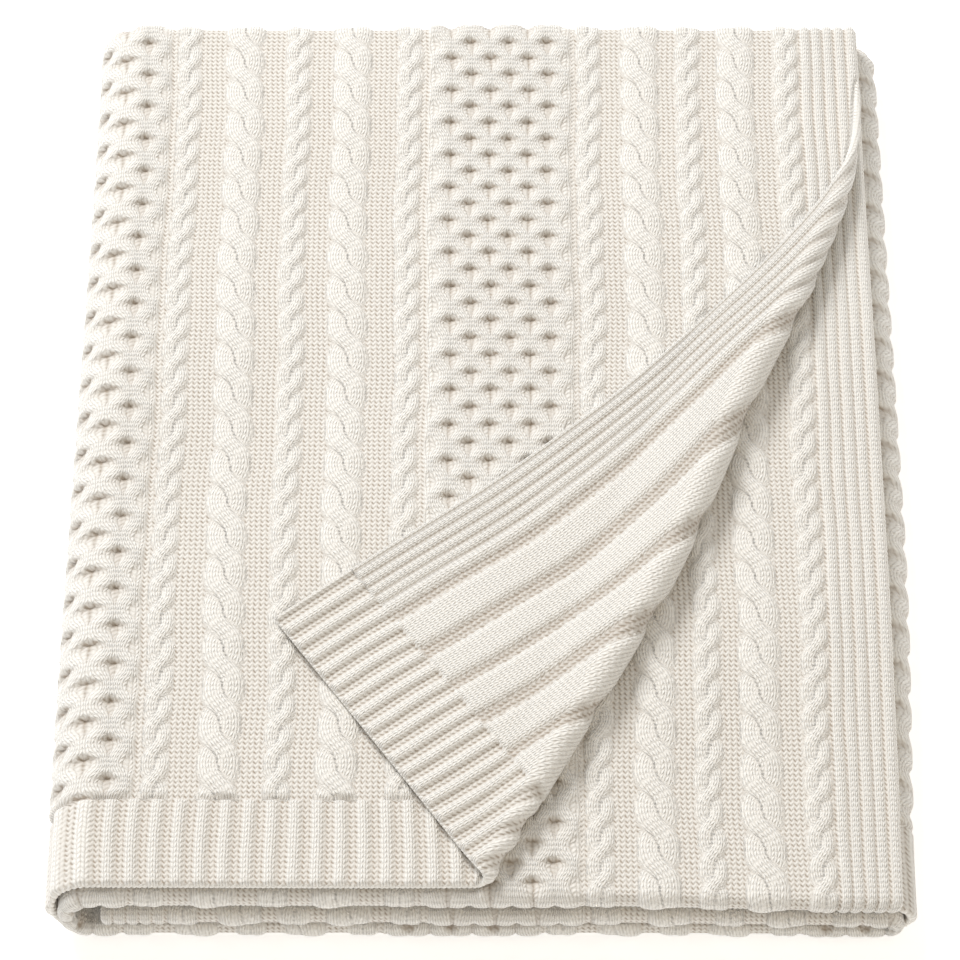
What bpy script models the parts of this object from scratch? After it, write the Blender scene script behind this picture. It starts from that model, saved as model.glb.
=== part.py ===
"""Cable knit blanket, folded into a flat stack of nine layers, with one corner of the top layer turned back.

The blanket is one knitted sheet. Flat, it has u across its width and v along its length. It is folded in
three along its length like a letter, which makes a pack of three layers, and the pack is then rolled in
three across its width. So a point of the cloth is placed by two routes: one through a pack, in y and height,
and one round the stack, in x and z. The knitted face is the outer side of the pack, and up in the top pack.
Units are metres. The origin is under the middle of the stack, and the camera side of it is -Y.
"""

import math
from collections import namedtuple

import bmesh
import bpy
from mathutils.geometry import delaunay_2d_cdt

# The flat cloth
WIDTH = 1.300
LENGTH = 1.700
THICKNESS = 0.0036
HEM_DEPTH = 0.050

# The letter fold: a pack of three layers
LAYER_STEP = 0.0050
HEM_Y = -0.2859
BACK_BEND_Y = 0.2791
NOSE_BEND_Y = -0.2867
BACK_BEND = LAYER_STEP
NOSE_BEND = LAYER_STEP / 2

# The roll of the pack round the stack
TOP_EDGE_X = 0.216
LEFT_BEND_X = -0.1965
RIGHT_BEND_X = 0.212
PACK_GAP = 0.0022
PACK_HALF = LAYER_STEP + THICKNESS / 2
PACK_STEP = 2 * PACK_HALF + PACK_GAP
RIGHT_BEND = PACK_STEP / 2
LEFT_BEND = PACK_STEP
TOP_Z = PACK_HALF + 2 * PACK_STEP

# The turned-back corner
ROLL_LEAN = math.radians(12)
ROLL_EASE = 0.040
FLAP_SHEAR = 0.10
SEEN_MARGIN = 0.010
BACK_SEEN_TURN = 0.8

# How the stack has settled: its droop at the front right, and how far its layers have slid, by height
DROOP = 0.15
DROOP_FRONT = (0.10, 0.29)
DROOP_RIGHT = (0.03, 0.20)
LOW_LAYERS = (0.024, 0.036)
FRONT_SLIDE = 0.0014
RIGHT_SLIDE = 0.0015
RIGHT_SLIDE_LOW = 0.0045
RIGHT_SLIDE_X = (0.12, 0.22)
RIGHT_SLIDE_Y = (0.05, 0.29)
LEFT_SLIDE = 0.0030
LEFT_SLIDE_X = (0.12, 0.22)
LEFT_SLIDE_Y = (-0.20, 0.25)

# The knitted relief
CABLE_SLANT = 0.36
HONEYCOMB_CELL = 0.0218
HONEYCOMB_PITCH = 0.0236
HONEYCOMB_HEIGHT = 0.0018
RIB_PITCH = 0.0117
RIB_HEIGHT = 0.0011
BORDER_RIBS = 5
BORDER_HEIGHT = 0.0009
RIB_EDGES = (0.1875, 0.3125, 0.6875, 0.8125)
BACK_RIDGE_HEIGHT = 0.0012
HONEYCOMB_COLUMNS = 7
ROPE_CROWN = 0.32
FADE = 0.004
FLAP_LIFT = THICKNESS + HONEYCOMB_HEIGHT + 0.0008

# How finely the bends and the roll are divided
WIDE_BEND_STEPS = 8
TIGHT_BEND_STEPS = 6
NOSE_STEPS = 4
ROLL_STEPS = 8
ROLL_STATIONS = 14
FLAP_DROPS = (0.020, 0.042)
FLAP_STATIONS = 10
CROSSING_STEPS = 50
CROSSING_MARGIN = 0.2
CROSSING_MIDDLE = 0.45
LINE_STEP = 0.004
FLAT_LIMIT = 1e-7
SAG_DEPTHS = (0.10, 0.19, 0.30, 0.45)
SAG_PLACES = (0.18, 0.13, 0.06, -0.02, -0.13)

# The fold of the corner, from the hem to the side edge. Bulge is how far the fold stands past its chord.
Fold = namedtuple("Fold", "share bulge radius snug")
FOLD_START = (0.009, -0.278)
FOLD_END = (0.216, 0.206)
FOLDS = (
    Fold(share=-0.05, bulge=-0.009, radius=0.0040, snug=0.92),
    Fold(share=0.12, bulge=-0.002, radius=0.0050, snug=0.92),
    Fold(share=0.36, bulge=0.0065, radius=0.0068, snug=0.96),
    Fold(share=0.48, bulge=0.006, radius=0.0070, snug=0.90),
    Fold(share=0.62, bulge=0.003, radius=0.0070, snug=0.78),
    Fold(share=0.80, bulge=0.005, radius=0.0062, snug=0.84),
    Fold(share=0.93, bulge=0.001, radius=0.0044, snug=0.95),
    Fold(share=1.06, bulge=-0.017, radius=0.0036, snug=1.00),
)

# Half of the cloth's width, from the side edge to the middle. The other half is its mirror image.
Panel = namedtuple("Panel", "kind width")
HALF_PANELS = (
    Panel("border", 0.0330),
    Panel("cables", 0.1300),
    Panel("honeycomb", 0.0840),
    Panel("cables", 0.1455),
    Panel("honeycomb", 0.0840),
    Panel("cables", 0.1315),
    Panel("honeycomb", 0.0420),
)

# The cables of one panel. Share is the middle's place across the panel, and lean is the way a strand crosses.
Cable = namedtuple("Cable", "share width height pitch lean")
PANEL_CABLES = (
    Cable(share=0.065, width=0.014, height=0.0015, pitch=0.0177, lean=-1),
    Cable(share=0.290, width=0.021, height=0.0017, pitch=0.0236, lean=1),
    Cable(share=0.500, width=0.014, height=0.0015, pitch=0.0177, lean=-1),
    Cable(share=0.710, width=0.021, height=0.0017, pitch=0.0236, lean=1),
    Cable(share=0.935, width=0.014, height=0.0015, pitch=0.0177, lean=-1),
)

Piece = namedtuple("Piece", "start x y heading length radius")
Strip = namedtuple("Strip", "kind start end")
Rope = namedtuple("Rope", "middle cable")


class Route:
    """A flat line of straight runs and round bends, read by the length along it."""

    def __init__(self, x, y, degrees, steps):
        """Steps are (length, radius) rows. A bend's radius is above 0 to the left, and a run's is 0."""
        self.pieces = []
        self.ends = []
        start = 0.0
        heading = math.radians(degrees)
        for length, radius in steps:
            self.pieces.append(Piece(start, x, y, heading, length, radius))
            x, y, heading = follow(self.pieces[-1], start + length)
            start += length
            self.ends.append(start)

    def at(self, length, left=0.0):
        """The point at that length, moved sideways to the left of the line."""
        piece = self.pieces[-1]
        for one in self.pieces:
            if length < one.start + one.length:
                piece = one
                break
        x, y, heading = follow(piece, length)
        return x - left * math.sin(heading), y + left * math.cos(heading)


def follow(piece, length):
    """The point and heading at a length that lies on this piece."""
    run = length - piece.start
    if piece.radius == 0:
        return (
            piece.x + run * math.cos(piece.heading),
            piece.y + run * math.sin(piece.heading),
            piece.heading,
        )
    heading = piece.heading + run / piece.radius
    x = piece.x + piece.radius * (math.sin(heading) - math.sin(piece.heading))
    y = piece.y - piece.radius * (math.cos(heading) - math.cos(piece.heading))
    return x, y, heading


def pack_route():
    """The cloth's way through a pack, in y and height above the pack's middle."""
    top = BACK_BEND_Y - HEM_Y
    under = BACK_BEND_Y - NOSE_BEND_Y
    back, nose = math.pi * BACK_BEND, math.pi * NOSE_BEND
    inside = LENGTH - top - under - back - nose
    steps = ((top, 0), (back, -BACK_BEND), (under, 0), (nose, -NOSE_BEND), (inside, 0))
    return Route(HEM_Y, LAYER_STEP, 0, steps)


def stack_route():
    """The pack's way round the stack, in x and z."""
    top = TOP_EDGE_X - LEFT_BEND_X
    under = RIGHT_BEND_X - LEFT_BEND_X
    left, right = math.pi * LEFT_BEND, math.pi * RIGHT_BEND
    middle = WIDTH - top - under - left - right
    steps = ((top, 0), (left, LEFT_BEND), (under, 0), (right, RIGHT_BEND), (middle, 0))
    return Route(TOP_EDGE_X, TOP_Z, 180, steps)


PACK = pack_route()
STACK = stack_route()
LAYER_ONE_END, BACK_END, LAYER_THREE_END, NOSE_END, _ = PACK.ends
TOP_END, LEFT_END, BOTTOM_END, RIGHT_END, _ = STACK.ends

# The stretches of the width at the left and the right bend on which the knitting shows
LEFT_SEEN = TOP_END + 0.62 * math.pi * LEFT_BEND
RIGHT_SEEN = (BOTTOM_END + 0.30 * math.pi * RIGHT_BEND, RIGHT_END)


def clamp(value):
    """The value, kept from 0 to 1."""
    return max(0.0, min(1.0, value))


def smooth(value):
    """A smooth rise from 0 to 1 as the value goes from 0 to 1."""
    value = clamp(value)
    return value * value * (3 - 2 * value)


def fold_axes():
    """The fold's chord: its length, the way along it and the way across it to the corner."""
    dx, dy = FOLD_END[0] - FOLD_START[0], FOLD_END[1] - FOLD_START[1]
    chord = math.hypot(dx, dy)
    return chord, (dx / chord, dy / chord), (dy / chord, -dx / chord)


CHORD, ALONG, ACROSS = fold_axes()


def slopes(rows, i):
    """How fast each value of a row changes there, from the rows on both sides of it."""
    low, high = rows[max(i - 1, 0)], rows[min(i + 1, len(rows) - 1)]
    return [(b - a) / (high.share - low.share) for a, b in zip(low, high)]


def fold_at(along):
    """The fold's row at a length along its chord, on a smooth curve through the rows of the table."""
    share = min(max(along / CHORD, FOLDS[0].share), FOLDS[-1].share - FLAT_LIMIT)
    i = max(k for k, row in enumerate(FOLDS) if row.share <= share)
    low, high = FOLDS[i], FOLDS[i + 1]
    wide = high.share - low.share
    t = (share - low.share) / wide
    values = []
    for a, b, rise_a, rise_b in zip(low, high, slopes(FOLDS, i), slopes(FOLDS, i + 1)):
        even = a + (b - a) * t * t * (3 - 2 * t)
        values.append(even + wide * t * (1 - t) * ((1 - t) * rise_a - t * rise_b))
    return Fold(*values)


def to_fold(x, y):
    """A place on the flat top layer as a length along the fold's chord and a distance across it."""
    dx, dy = x - FOLD_START[0], y - FOLD_START[1]
    return dx * ALONG[0] + dy * ALONG[1], dx * ACROSS[0] + dy * ACROSS[1]


def from_fold(along, across):
    """The place on the flat top layer for a length along the chord and a distance across it."""
    x = FOLD_START[0] + along * ALONG[0] + across * ACROSS[0]
    y = FOLD_START[1] + along * ALONG[1] + across * ACROSS[1]
    return x, y


def roll_length(fold):
    """How much cloth the round of the roll takes up."""
    return (math.pi + ROLL_LEAN) * fold.radius


def roll_route(fold):
    """The section of the roll and the flap behind it, in distance across the chord and height."""
    drop = ROLL_EASE * (1 - math.cos(ROLL_LEAN))
    top = fold.radius * (1 + math.cos(ROLL_LEAN))
    slope = max(0.0, top - drop - FLAP_LIFT) / math.sin(ROLL_LEAN)
    steps = (
        (roll_length(fold), fold.radius),
        (slope, 0),
        (ROLL_EASE * ROLL_LEAN, -ROLL_EASE),
        (1.0, 0),
    )
    return Route(fold.bulge, 0.0, 0, steps)


def turn_corner(x, y, lift):
    """A point of the top layer as x, y and height above the layer's middle, with the corner turned back."""
    along, across = to_fold(x, y)
    fold = fold_at(along)
    past = across - fold.bulge
    if past <= 0:
        return x, y, lift
    roll = roll_length(fold)
    flap = max(0.0, past - roll)
    length = min(past, roll) + flap * fold.snug
    across, height = roll_route(fold).at(length, lift)
    x, y = from_fold(along + FLAP_SHEAR * flap, across)
    return x, y, height


def over(value, span):
    """A smooth rise from 0 at the span's start to 1 at its end."""
    return smooth((value - span[0]) / (span[1] - span[0]))


def settle(x, y, z):
    """The small sags and leans that the folded cloth takes on as it lies."""
    front = over(-y, DROOP_FRONT)
    z *= 1 - DROOP * front * over(x, DROOP_RIGHT)
    low = 1 - over(z, LOW_LAYERS)
    y -= FRONT_SLIDE * front * low
    x -= (RIGHT_SLIDE + RIGHT_SLIDE_LOW * low) * over(x, RIGHT_SLIDE_X) * over(-y, RIGHT_SLIDE_Y)
    x += LEFT_SLIDE * over(-x, LEFT_SLIDE_X) * over(y, LEFT_SLIDE_Y)
    return x, y, z


def place(u, v, lift):
    """The place of a point of the cloth that lies that far above the cloth's middle, on its face side."""
    y, height = PACK.at(v, lift)
    if v <= LAYER_ONE_END and u <= TOP_END:
        x, y, height = turn_corner(TOP_EDGE_X - u, y, lift)
        return settle(x, y, TOP_Z + LAYER_STEP + height)
    x, z = STACK.at(u, -height)
    return settle(x, y, z)


def past_fold(x, y):
    """How far a place on the flat top layer lies past the start of the roll."""
    along, across = to_fold(x, y)
    return across - fold_at(along).bulge


def under_flap(x, y):
    """Whether the flap covers this place on the top layer, well inside the flap's edges."""
    along, across = to_fold(x, y)
    fold = fold_at(along)
    if across >= fold.bulge:
        return False
    flap = (fold.bulge - across) / fold.snug
    x, y = from_fold(along - FLAP_SHEAR * flap, fold.bulge + roll_length(fold) + flap)
    return x < TOP_EDGE_X - SEEN_MARGIN and y > HEM_Y + SEEN_MARGIN


def seen_face(u, v):
    """Whether the knitted face shows here: on the top, on the layer below it past the fold, or at a side."""
    if RIGHT_SEEN[0] <= u <= RIGHT_SEEN[1]:
        return v <= LAYER_ONE_END
    if u > LEFT_SEEN:
        return False
    x = TOP_EDGE_X - u
    if v <= LAYER_ONE_END:
        y = HEM_Y + v
        return past_fold(x, y) < -FADE and not under_flap(x, y)
    if v >= NOSE_END:
        y = NOSE_BEND_Y + v - NOSE_END
        return past_fold(x, y) > -SEEN_MARGIN and u <= TOP_END
    return False


def seen_back(u, v):
    """How fully the cloth's back shows here, from 0 to 1: on the roll and the turned corner."""
    if v > LAYER_ONE_END or u > TOP_END:
        return 0.0
    x, y = TOP_EDGE_X - u, HEM_Y + v
    along, across = to_fold(x, y)
    fold = fold_at(along)
    return clamp((across - fold.bulge) / fold.radius - BACK_SEEN_TURN)


def strips():
    """The strips across the whole width, with where each starts and ends."""
    both = HALF_PANELS + HALF_PANELS[::-1]
    found = []
    start = 0.0
    for panel in both:
        found.append(Strip(panel.kind, start, start + panel.width))
        start += panel.width
    return found


def honeycomb_middles():
    """The middle of each honeycomb panel. The one at the middle of the cloth is two half panels."""
    half = len(HALF_PANELS)
    found = [s for i, s in enumerate(strips()) if s.kind == "honeycomb" and i not in (half - 1, half)]
    return [(s.start + s.end) / 2 for s in found] + [WIDTH / 2]


def ropes():
    """Each cable of the cloth with its middle."""
    found = []
    for strip in strips():
        if strip.kind == "cables":
            wide = strip.end - strip.start
            found += [Rope(strip.start + wide * cable.share, cable) for cable in PANEL_CABLES]
    return found


ROPES = ropes()
HONEYCOMBS = honeycomb_middles()
HONEYCOMB_HALF = HALF_PANELS[-1].width


def rope_height(rope, u, v):
    """The height of a twisted cable above the ground."""
    across = (u - rope.middle) / (rope.cable.width / 2)
    if abs(across) >= 1:
        return 0.0
    turn = v / rope.cable.pitch - rope.cable.lean * CABLE_SLANT * across
    return rope.cable.height * math.sqrt(1 - across * across) * (1 - ROPE_CROWN + ROPE_CROWN * math.cos(math.tau * turn))


def hollow_depth(u, v):
    """How deep a honeycomb hollow is here, from 0 on its ridges to 1 at its middle."""
    half_cell, half_pitch = HONEYCOMB_CELL / 2, HONEYCOMB_PITCH / 2
    column = u / half_cell - 0.5
    row = v / half_pitch
    near = []
    for i in (math.floor(column), math.floor(column) + 1):
        for j in (math.floor(row), math.floor(row) + 1):
            if (i + j) % 2 == 0:
                near.append(abs(column - i) + abs(row - j))
    return clamp(1 - min(near))


def honeycomb_height(middle, u, v):
    """The height of a honeycomb panel above the ground, which fades at the panel's sides."""
    off = abs(u - middle)
    side = HONEYCOMB_CELL / 2 * HONEYCOMB_COLUMNS / 2
    fade = clamp((side + FADE - off) / FADE)
    return HONEYCOMB_HEIGHT * fade * (1 - hollow_depth(u - middle, v))


def rib_wave(u, pitch):
    """A rib's section: 1 on its flat top, 0 on the flat between ribs, with sloping sides."""
    return clamp((1 - abs(u / pitch % 1.0 - 0.5) * 4) * 2 + 0.5)


def face_relief(u, v):
    """How far the knitted face is raised above the plain cloth."""
    if not seen_face(u, v):
        return 0.0
    ground = smooth((min(v, LENGTH - v) - HEM_DEPTH) / FADE)
    ribs = RIB_HEIGHT * rib_wave(u, RIB_PITCH) * (1 - ground)
    if v > LAYER_ONE_END - FADE and v <= LAYER_ONE_END:
        ground *= clamp((LAYER_ONE_END - v) / FADE)
    if v >= NOSE_END:
        past = past_fold(TOP_EDGE_X - u, NOSE_BEND_Y + v - NOSE_END)
        ground *= clamp((v - NOSE_END) / FADE) * clamp(past / FADE)
    for middle in HONEYCOMBS:
        if abs(u - middle) < HONEYCOMB_HALF:
            return ribs + ground * honeycomb_height(middle, u, v)
    for rope in ROPES:
        if abs(u - rope.middle) < rope.cable.width / 2:
            return ribs + ground * rope_height(rope, u, v)
    if u < HALF_PANELS[0].width:
        return ribs + ground * BORDER_HEIGHT * rib_wave(u, HALF_PANELS[0].width / BORDER_RIBS)
    return ribs


def back_relief(u, v):
    """How far the cloth's back is raised: hem and border ribs, and broad ridges between the cables."""
    seen = seen_back(u, v)
    if seen == 0:
        return 0.0
    if v < HEM_DEPTH:
        return seen * RIB_HEIGHT * (1 - rib_wave(u, RIB_PITCH))
    if u < HALF_PANELS[0].width:
        return seen * BORDER_HEIGHT * (1 - rib_wave(u, HALF_PANELS[0].width / BORDER_RIBS))
    for rope in ROPES:
        if abs(u - rope.middle) < rope.cable.width / 2:
            off = abs(u - rope.middle) / (rope.cable.width / 2)
            return seen * BACK_RIDGE_HEIGHT * clamp(off * 2 - 1)
    return seen * BACK_RIDGE_HEIGHT


def bend_marks(start, end, steps):
    """Even places from the start to the end of a bend."""
    return [start + (end - start) * i / steps for i in range(steps + 1)]


def bend_lines():
    """The lines along the bends, which run the whole length or width of the cloth."""
    across = bend_marks(TOP_END, LEFT_END, WIDE_BEND_STEPS)
    across += bend_marks(BOTTOM_END, RIGHT_END, TIGHT_BEND_STEPS)
    lengthwise = bend_marks(LAYER_ONE_END, BACK_END, TIGHT_BEND_STEPS)
    lengthwise += bend_marks(LAYER_THREE_END, NOSE_END, NOSE_STEPS)
    lines = [[(u, 0.0), (u, LENGTH)] for u in across]
    lines += [[(0.0, v), (WIDTH, v)] for v in lengthwise]
    return lines


def slack_lines():
    """The lines across the plain cloth that let its layers sag smoothly, kept off the raised knitting."""
    layer_starts = (0.0, BACK_END, NOSE_END)
    lines = []
    for start in layer_starts:
        for depth in SAG_DEPTHS:
            v = start + depth
            if start == BACK_END:
                v = LAYER_THREE_END - depth
            lines += [[(a, v), (b, v)] for a, b in plain_stretches(v)]
    for x in SAG_PLACES:
        for u in (LEFT_END + x - LEFT_BEND_X, RIGHT_END + RIGHT_BEND_X - x):
            lines.append([(u, 0.0), (u, LENGTH)])
        u = TOP_EDGE_X - x
        lines.append([(u, BACK_END), (u, LAYER_THREE_END)])
    return lines


def plain_stretches(v):
    """The stretches of the width at this v on which no raised knitting shows."""
    if LAYER_ONE_END < v < NOSE_END:
        return ((0.0, WIDTH),)
    if v <= LAYER_ONE_END:
        return ((LEFT_END, BOTTOM_END), (RIGHT_END, WIDTH))
    return ((TOP_END, BOTTOM_END), (RIGHT_END, WIDTH))


def on_cloth(x, y):
    """A place on the flat top layer, as u and v."""
    return TOP_EDGE_X - x, y - HEM_Y


def edge_crossing(offset_of, low, high):
    """The length along the chord, between low and high, at which an offset line leaves the cloth."""

    def inside(along):
        u, v = on_cloth(*from_fold(along, offset_of(along)))
        return u > 0 and v > 0

    for _ in range(CROSSING_STEPS):
        middle = (low + high) / 2
        if inside(middle) == inside(low):
            low = middle
        else:
            high = middle
    return (low + high) / 2


def fold_line(offset_of, stations):
    """A line beside the fold on the flat cloth, from the hem to the side edge."""
    middle = CHORD * CROSSING_MIDDLE
    first = edge_crossing(offset_of, -CROSSING_MARGIN, middle)
    last = edge_crossing(offset_of, CHORD + CROSSING_MARGIN, middle)
    line = []
    for i in range(stations + 1):
        along = first + (last - first) * i / stations
        u, v = on_cloth(*from_fold(along, offset_of(along)))
        line.append((0.0 if u < FLAT_LIMIT else u, 0.0 if v < FLAT_LIMIT else v))
    return line


def roll_lines():
    """The lines along the roll and along the slope behind it."""
    lines = []
    for step in range(ROLL_STEPS + 1):
        share = step / ROLL_STEPS

        def offset_of(along, share=share):
            fold = fold_at(along)
            return fold.bulge + share * roll_length(fold)

        lines.append(fold_line(offset_of, ROLL_STATIONS))

    for drop in FLAP_DROPS:

        def offset_of(along, drop=drop):
            fold = fold_at(along)
            return fold.bulge + roll_length(fold) + drop

        lines.append(fold_line(offset_of, FLAP_STATIONS))
    return lines


def clipped(u, low, high, test):
    """The stretches of a line of constant u, between two values of v, on which the test holds."""
    stretches = []
    start = None
    count = max(1, round((high - low) / LINE_STEP))
    marks = [low + (high - low) * i / count for i in range(count + 1)]
    for v in marks:
        if test(u, v):
            start = v if start is None else start
            last = v
        elif start is not None:
            stretches.append((start, last))
            start = None
    if start is not None:
        stretches.append((start, last))
    return [[(u, a), (u, b)] for a, b in stretches if b - a > LINE_STEP]


def rib_edges(low, high, pitch):
    """The four edges of each rib's section between two values of u."""
    marks = []
    for rib in range(math.floor(low / pitch), math.ceil(high / pitch) + 1):
        marks += [(rib + share) * pitch for share in RIB_EDGES]
    return [u for u in marks if low < u < high]


def hem_lines(low, high, test):
    """The ribs of the hem on one side of the cloth."""
    lines = []
    for u in rib_edges(low, high, RIB_PITCH):
        lines += clipped(u, 0.0, HEM_DEPTH - FADE / 2, test)
    return lines


def border_lines(test, start, end):
    """The ribs along the side edge of the cloth."""
    width = HALF_PANELS[0].width
    lines = []
    for u in rib_edges(0.0, width, width / BORDER_RIBS):
        lines += clipped(u, start, end, test)
    return lines


def rope_lines(rope, start, end):
    """The strands of a cable: crests across its lobes, valleys between them, and its two sides."""
    cable = rope.cable
    half = cable.width / 2
    lines = []
    before = None
    for count in range(math.ceil(start / cable.pitch), math.floor(end / cable.pitch)):
        lobe = []
        for across, turn in ((-0.5, 0.0), (0.5, 0.0), (-1, 0.5), (-0.5, 0.5), (0.5, 0.5), (1, 0.5)):
            v = cable.pitch * (count + turn + cable.lean * CABLE_SLANT * across)
            lobe.append((rope.middle + half * across, v))
        if not all(seen_face(u, v) and start < v < end for u, v in lobe):
            before = None
            continue
        lines += [lobe[:2], lobe[2:]]
        if before:
            lines += [[before[2], lobe[2]], [before[-1], lobe[-1]]]
        before = lobe
    return lines


def honeycomb_lines(middle, start, end):
    """The ridges round each hollow of a honeycomb panel, and the spokes to its middle."""
    half_cell, half_pitch = HONEYCOMB_CELL / 2, HONEYCOMB_PITCH / 2
    reach = (HONEYCOMB_COLUMNS - 1) // 2
    lines = []
    for row in range(math.ceil(start / half_pitch) + 1, math.floor(end / half_pitch)):
        for column in range(-reach, reach + 1):
            if (column + row) % 2:
                continue
            u, v = middle + (column + 0.5) * half_cell, row * half_pitch
            corners = [(u - half_cell, v), (u, v + half_pitch), (u + half_cell, v), (u, v - half_pitch)]
            if seen_face(u, v) and all(start < corner[1] < end for corner in corners):
                lines.append(corners + corners[:1])
                lines.append([corners[0], (u, v), corners[2]])
    return lines


def face_lines():
    """Every line of the knitted face that shows."""
    lines = hem_lines(0.0, LEFT_SEEN, seen_face)
    lines.append([(TOP_EDGE_X + FADE, HEM_DEPTH + FADE), (LEFT_SEEN, HEM_DEPTH + FADE)])
    first = (HEM_DEPTH + FADE, LAYER_ONE_END - FADE)
    second = (NOSE_END + FADE, LENGTH - HEM_DEPTH - FADE)
    for start, end in (first, second):
        lines += border_lines(seen_face, start, end)
        for rope in ROPES:
            if rope.middle < LEFT_SEEN:
                lines += rope_lines(rope, start, end)
    for middle in HONEYCOMBS:
        lines += honeycomb_lines(middle, *first)
    lines += honeycomb_lines(HONEYCOMBS[0], *second)
    return lines


def back_lines():
    """Every line of the cloth's back that shows."""

    def test(u, v):
        return seen_back(u, v) > 0

    lines = hem_lines(0.0, TOP_EDGE_X, test)
    lines += border_lines(test, HEM_DEPTH + FADE, LAYER_ONE_END)
    for rope in ROPES:
        if rope.middle < TOP_EDGE_X:
            for share in (-1, -0.5, 0.5, 1):
                u = rope.middle + share * rope.cable.width / 2
                lines += clipped(u, HEM_DEPTH + FADE, LAYER_ONE_END, test)
    return lines


def rim_marks(lines):
    """Every place where a line ends on the cloth's rim, with the four corners, side by side."""
    ends = {(0.0, 0.0), (WIDTH, 0.0), (WIDTH, LENGTH), (0.0, LENGTH)}
    for line in lines:
        for u, v in (line[0], line[-1]):
            if min(u, v, WIDTH - u, LENGTH - v) < FLAT_LIMIT:
                ends.add((u, v))
    sides = (
        sorted((p for p in ends if p[1] < FLAT_LIMIT), key=lambda p: p[0]),
        sorted((p for p in ends if p[0] > WIDTH - FLAT_LIMIT), key=lambda p: p[1]),
        sorted((p for p in ends if p[1] > LENGTH - FLAT_LIMIT), key=lambda p: -p[0]),
        sorted((p for p in ends if p[0] < FLAT_LIMIT), key=lambda p: -p[1]),
    )
    return [p for side in sides for p in side[:-1]]


def triangles_of(rim, lines):
    """The flat cloth in triangles that keep to the rim and the lines, as points and corner numbers."""
    points = list(rim)
    edges = [(i, (i + 1) % len(rim)) for i in range(len(rim))]
    for line in lines:
        first = len(points)
        points += line
        edges += [(first + i, first + i + 1) for i in range(len(line) - 1)]
    found = delaunay_2d_cdt(points, edges, [], 0, 1e-6)
    return [tuple(p) for p in found[0]], found[2]


def centre(built):
    """Moves the mesh so that the middle of its outline is over the origin."""
    for axis in (0, 1):
        places = [corner.co[axis] for corner in built.verts]
        middle = (min(places) + max(places)) / 2
        for corner in built.verts:
            corner.co[axis] -= middle


def sheet_mesh():
    """The whole blanket as one closed mesh: its face, its back and the rim between them."""
    shared = bend_lines() + slack_lines() + roll_lines()
    face, back = shared + face_lines(), shared + back_lines()
    rim = rim_marks(face + back)
    half = THICKNESS / 2
    sides = (
        (triangles_of(rim, face), lambda u, v: half + face_relief(u, v)),
        (triangles_of(rim, back), lambda u, v: -half - back_relief(u, v)),
    )
    built = bmesh.new()
    rims = []
    for (points, triangles), lift in sides:
        corners = [built.verts.new(place(u, v, lift(u, v))) for u, v in points]
        for triangle in triangles:
            built.faces.new([corners[i] for i in triangle])
        where = {(round(u, 6), round(v, 6)): c for (u, v), c in zip(points, corners)}
        rims.append([where[round(u, 6), round(v, 6)] for u, v in rim])
    for i in range(len(rim)):
        after = (i + 1) % len(rim)
        built.faces.new((rims[0][i], rims[0][after], rims[1][after], rims[1][i]))
    bmesh.ops.recalc_face_normals(built, faces=built.faces)
    bmesh.ops.triangulate(built, faces=[f for f in built.faces if len(f.verts) > 3])
    centre(built)
    mesh = bpy.data.meshes.new("blanket")
    built.to_mesh(mesh)
    built.free()
    return mesh


def yarn_material():
    """Soft ivory yarn."""
    material = bpy.data.materials.new("ivory_yarn")
    material.use_nodes = True
    shader = material.node_tree.nodes["Principled BSDF"]
    shader.inputs["Base Color"].default_value = (0.84, 0.81, 0.76, 1.0)
    shader.inputs["Roughness"].default_value = 0.95
    shader.inputs["Metallic"].default_value = 0.0
    return material


def main():
    """Clears the scene and builds the blanket."""
    for old in list(bpy.data.objects):
        bpy.data.objects.remove(old, do_unlink=True)
    mesh = sheet_mesh()
    mesh.materials.append(yarn_material())
    blanket = bpy.data.objects.new("blanket", mesh)
    bpy.context.scene.collection.objects.link(blanket)


main()
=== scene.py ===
"""The looks of the folded cable knit blanket, with its cables, honeycomb panels, ribs and turned-back corner.

The blanket is one knitted cloth. Flat, it has u across its width and v along its length, and one map places
every point of it in the folded stack: a route through a pack of three layers, a route of the pack round the
stack, and the roll of the turned corner. The knitting is a height, a stitch grid and a kind of stitch at each
point of the flat cloth. The cloth is made in patches whose edges meet. Units are metres.
"""

import logging
import math
from dataclasses import dataclass, field
from enum import Enum
from typing import Sequence, Union

import bpy
import numpy as np
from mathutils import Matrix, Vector


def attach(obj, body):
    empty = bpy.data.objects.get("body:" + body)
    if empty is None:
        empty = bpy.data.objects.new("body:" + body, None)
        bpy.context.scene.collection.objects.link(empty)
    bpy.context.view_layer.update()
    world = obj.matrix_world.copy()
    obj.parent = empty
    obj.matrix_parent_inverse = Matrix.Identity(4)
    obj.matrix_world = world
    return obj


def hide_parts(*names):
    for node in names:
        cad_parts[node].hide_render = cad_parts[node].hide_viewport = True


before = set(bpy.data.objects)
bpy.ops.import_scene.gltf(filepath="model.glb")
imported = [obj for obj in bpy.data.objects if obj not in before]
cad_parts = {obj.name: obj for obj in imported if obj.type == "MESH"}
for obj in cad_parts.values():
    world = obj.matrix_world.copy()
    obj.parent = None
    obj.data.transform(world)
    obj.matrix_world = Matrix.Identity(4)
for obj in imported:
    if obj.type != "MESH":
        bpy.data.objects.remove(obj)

LOG = logging.getLogger("blanket")
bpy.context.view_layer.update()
NODE = "blanket"
BODY = "root"

Array = np.ndarray
Socket = bpy.types.NodeSocket
Value = Union[float, Socket]


def smooth(value: Array) -> Array:
    """Returns a smooth rise from 0 to 1 as the value goes from 0 to 1."""
    value = np.clip(value, 0.0, 1.0)
    return value * value * (3 - 2 * value)


def rise(value: Array, start: float, run: float) -> Array:
    """Returns a smooth rise from 0 at the start to 1 at the end of the run."""
    return smooth((value - start) / run)


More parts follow.
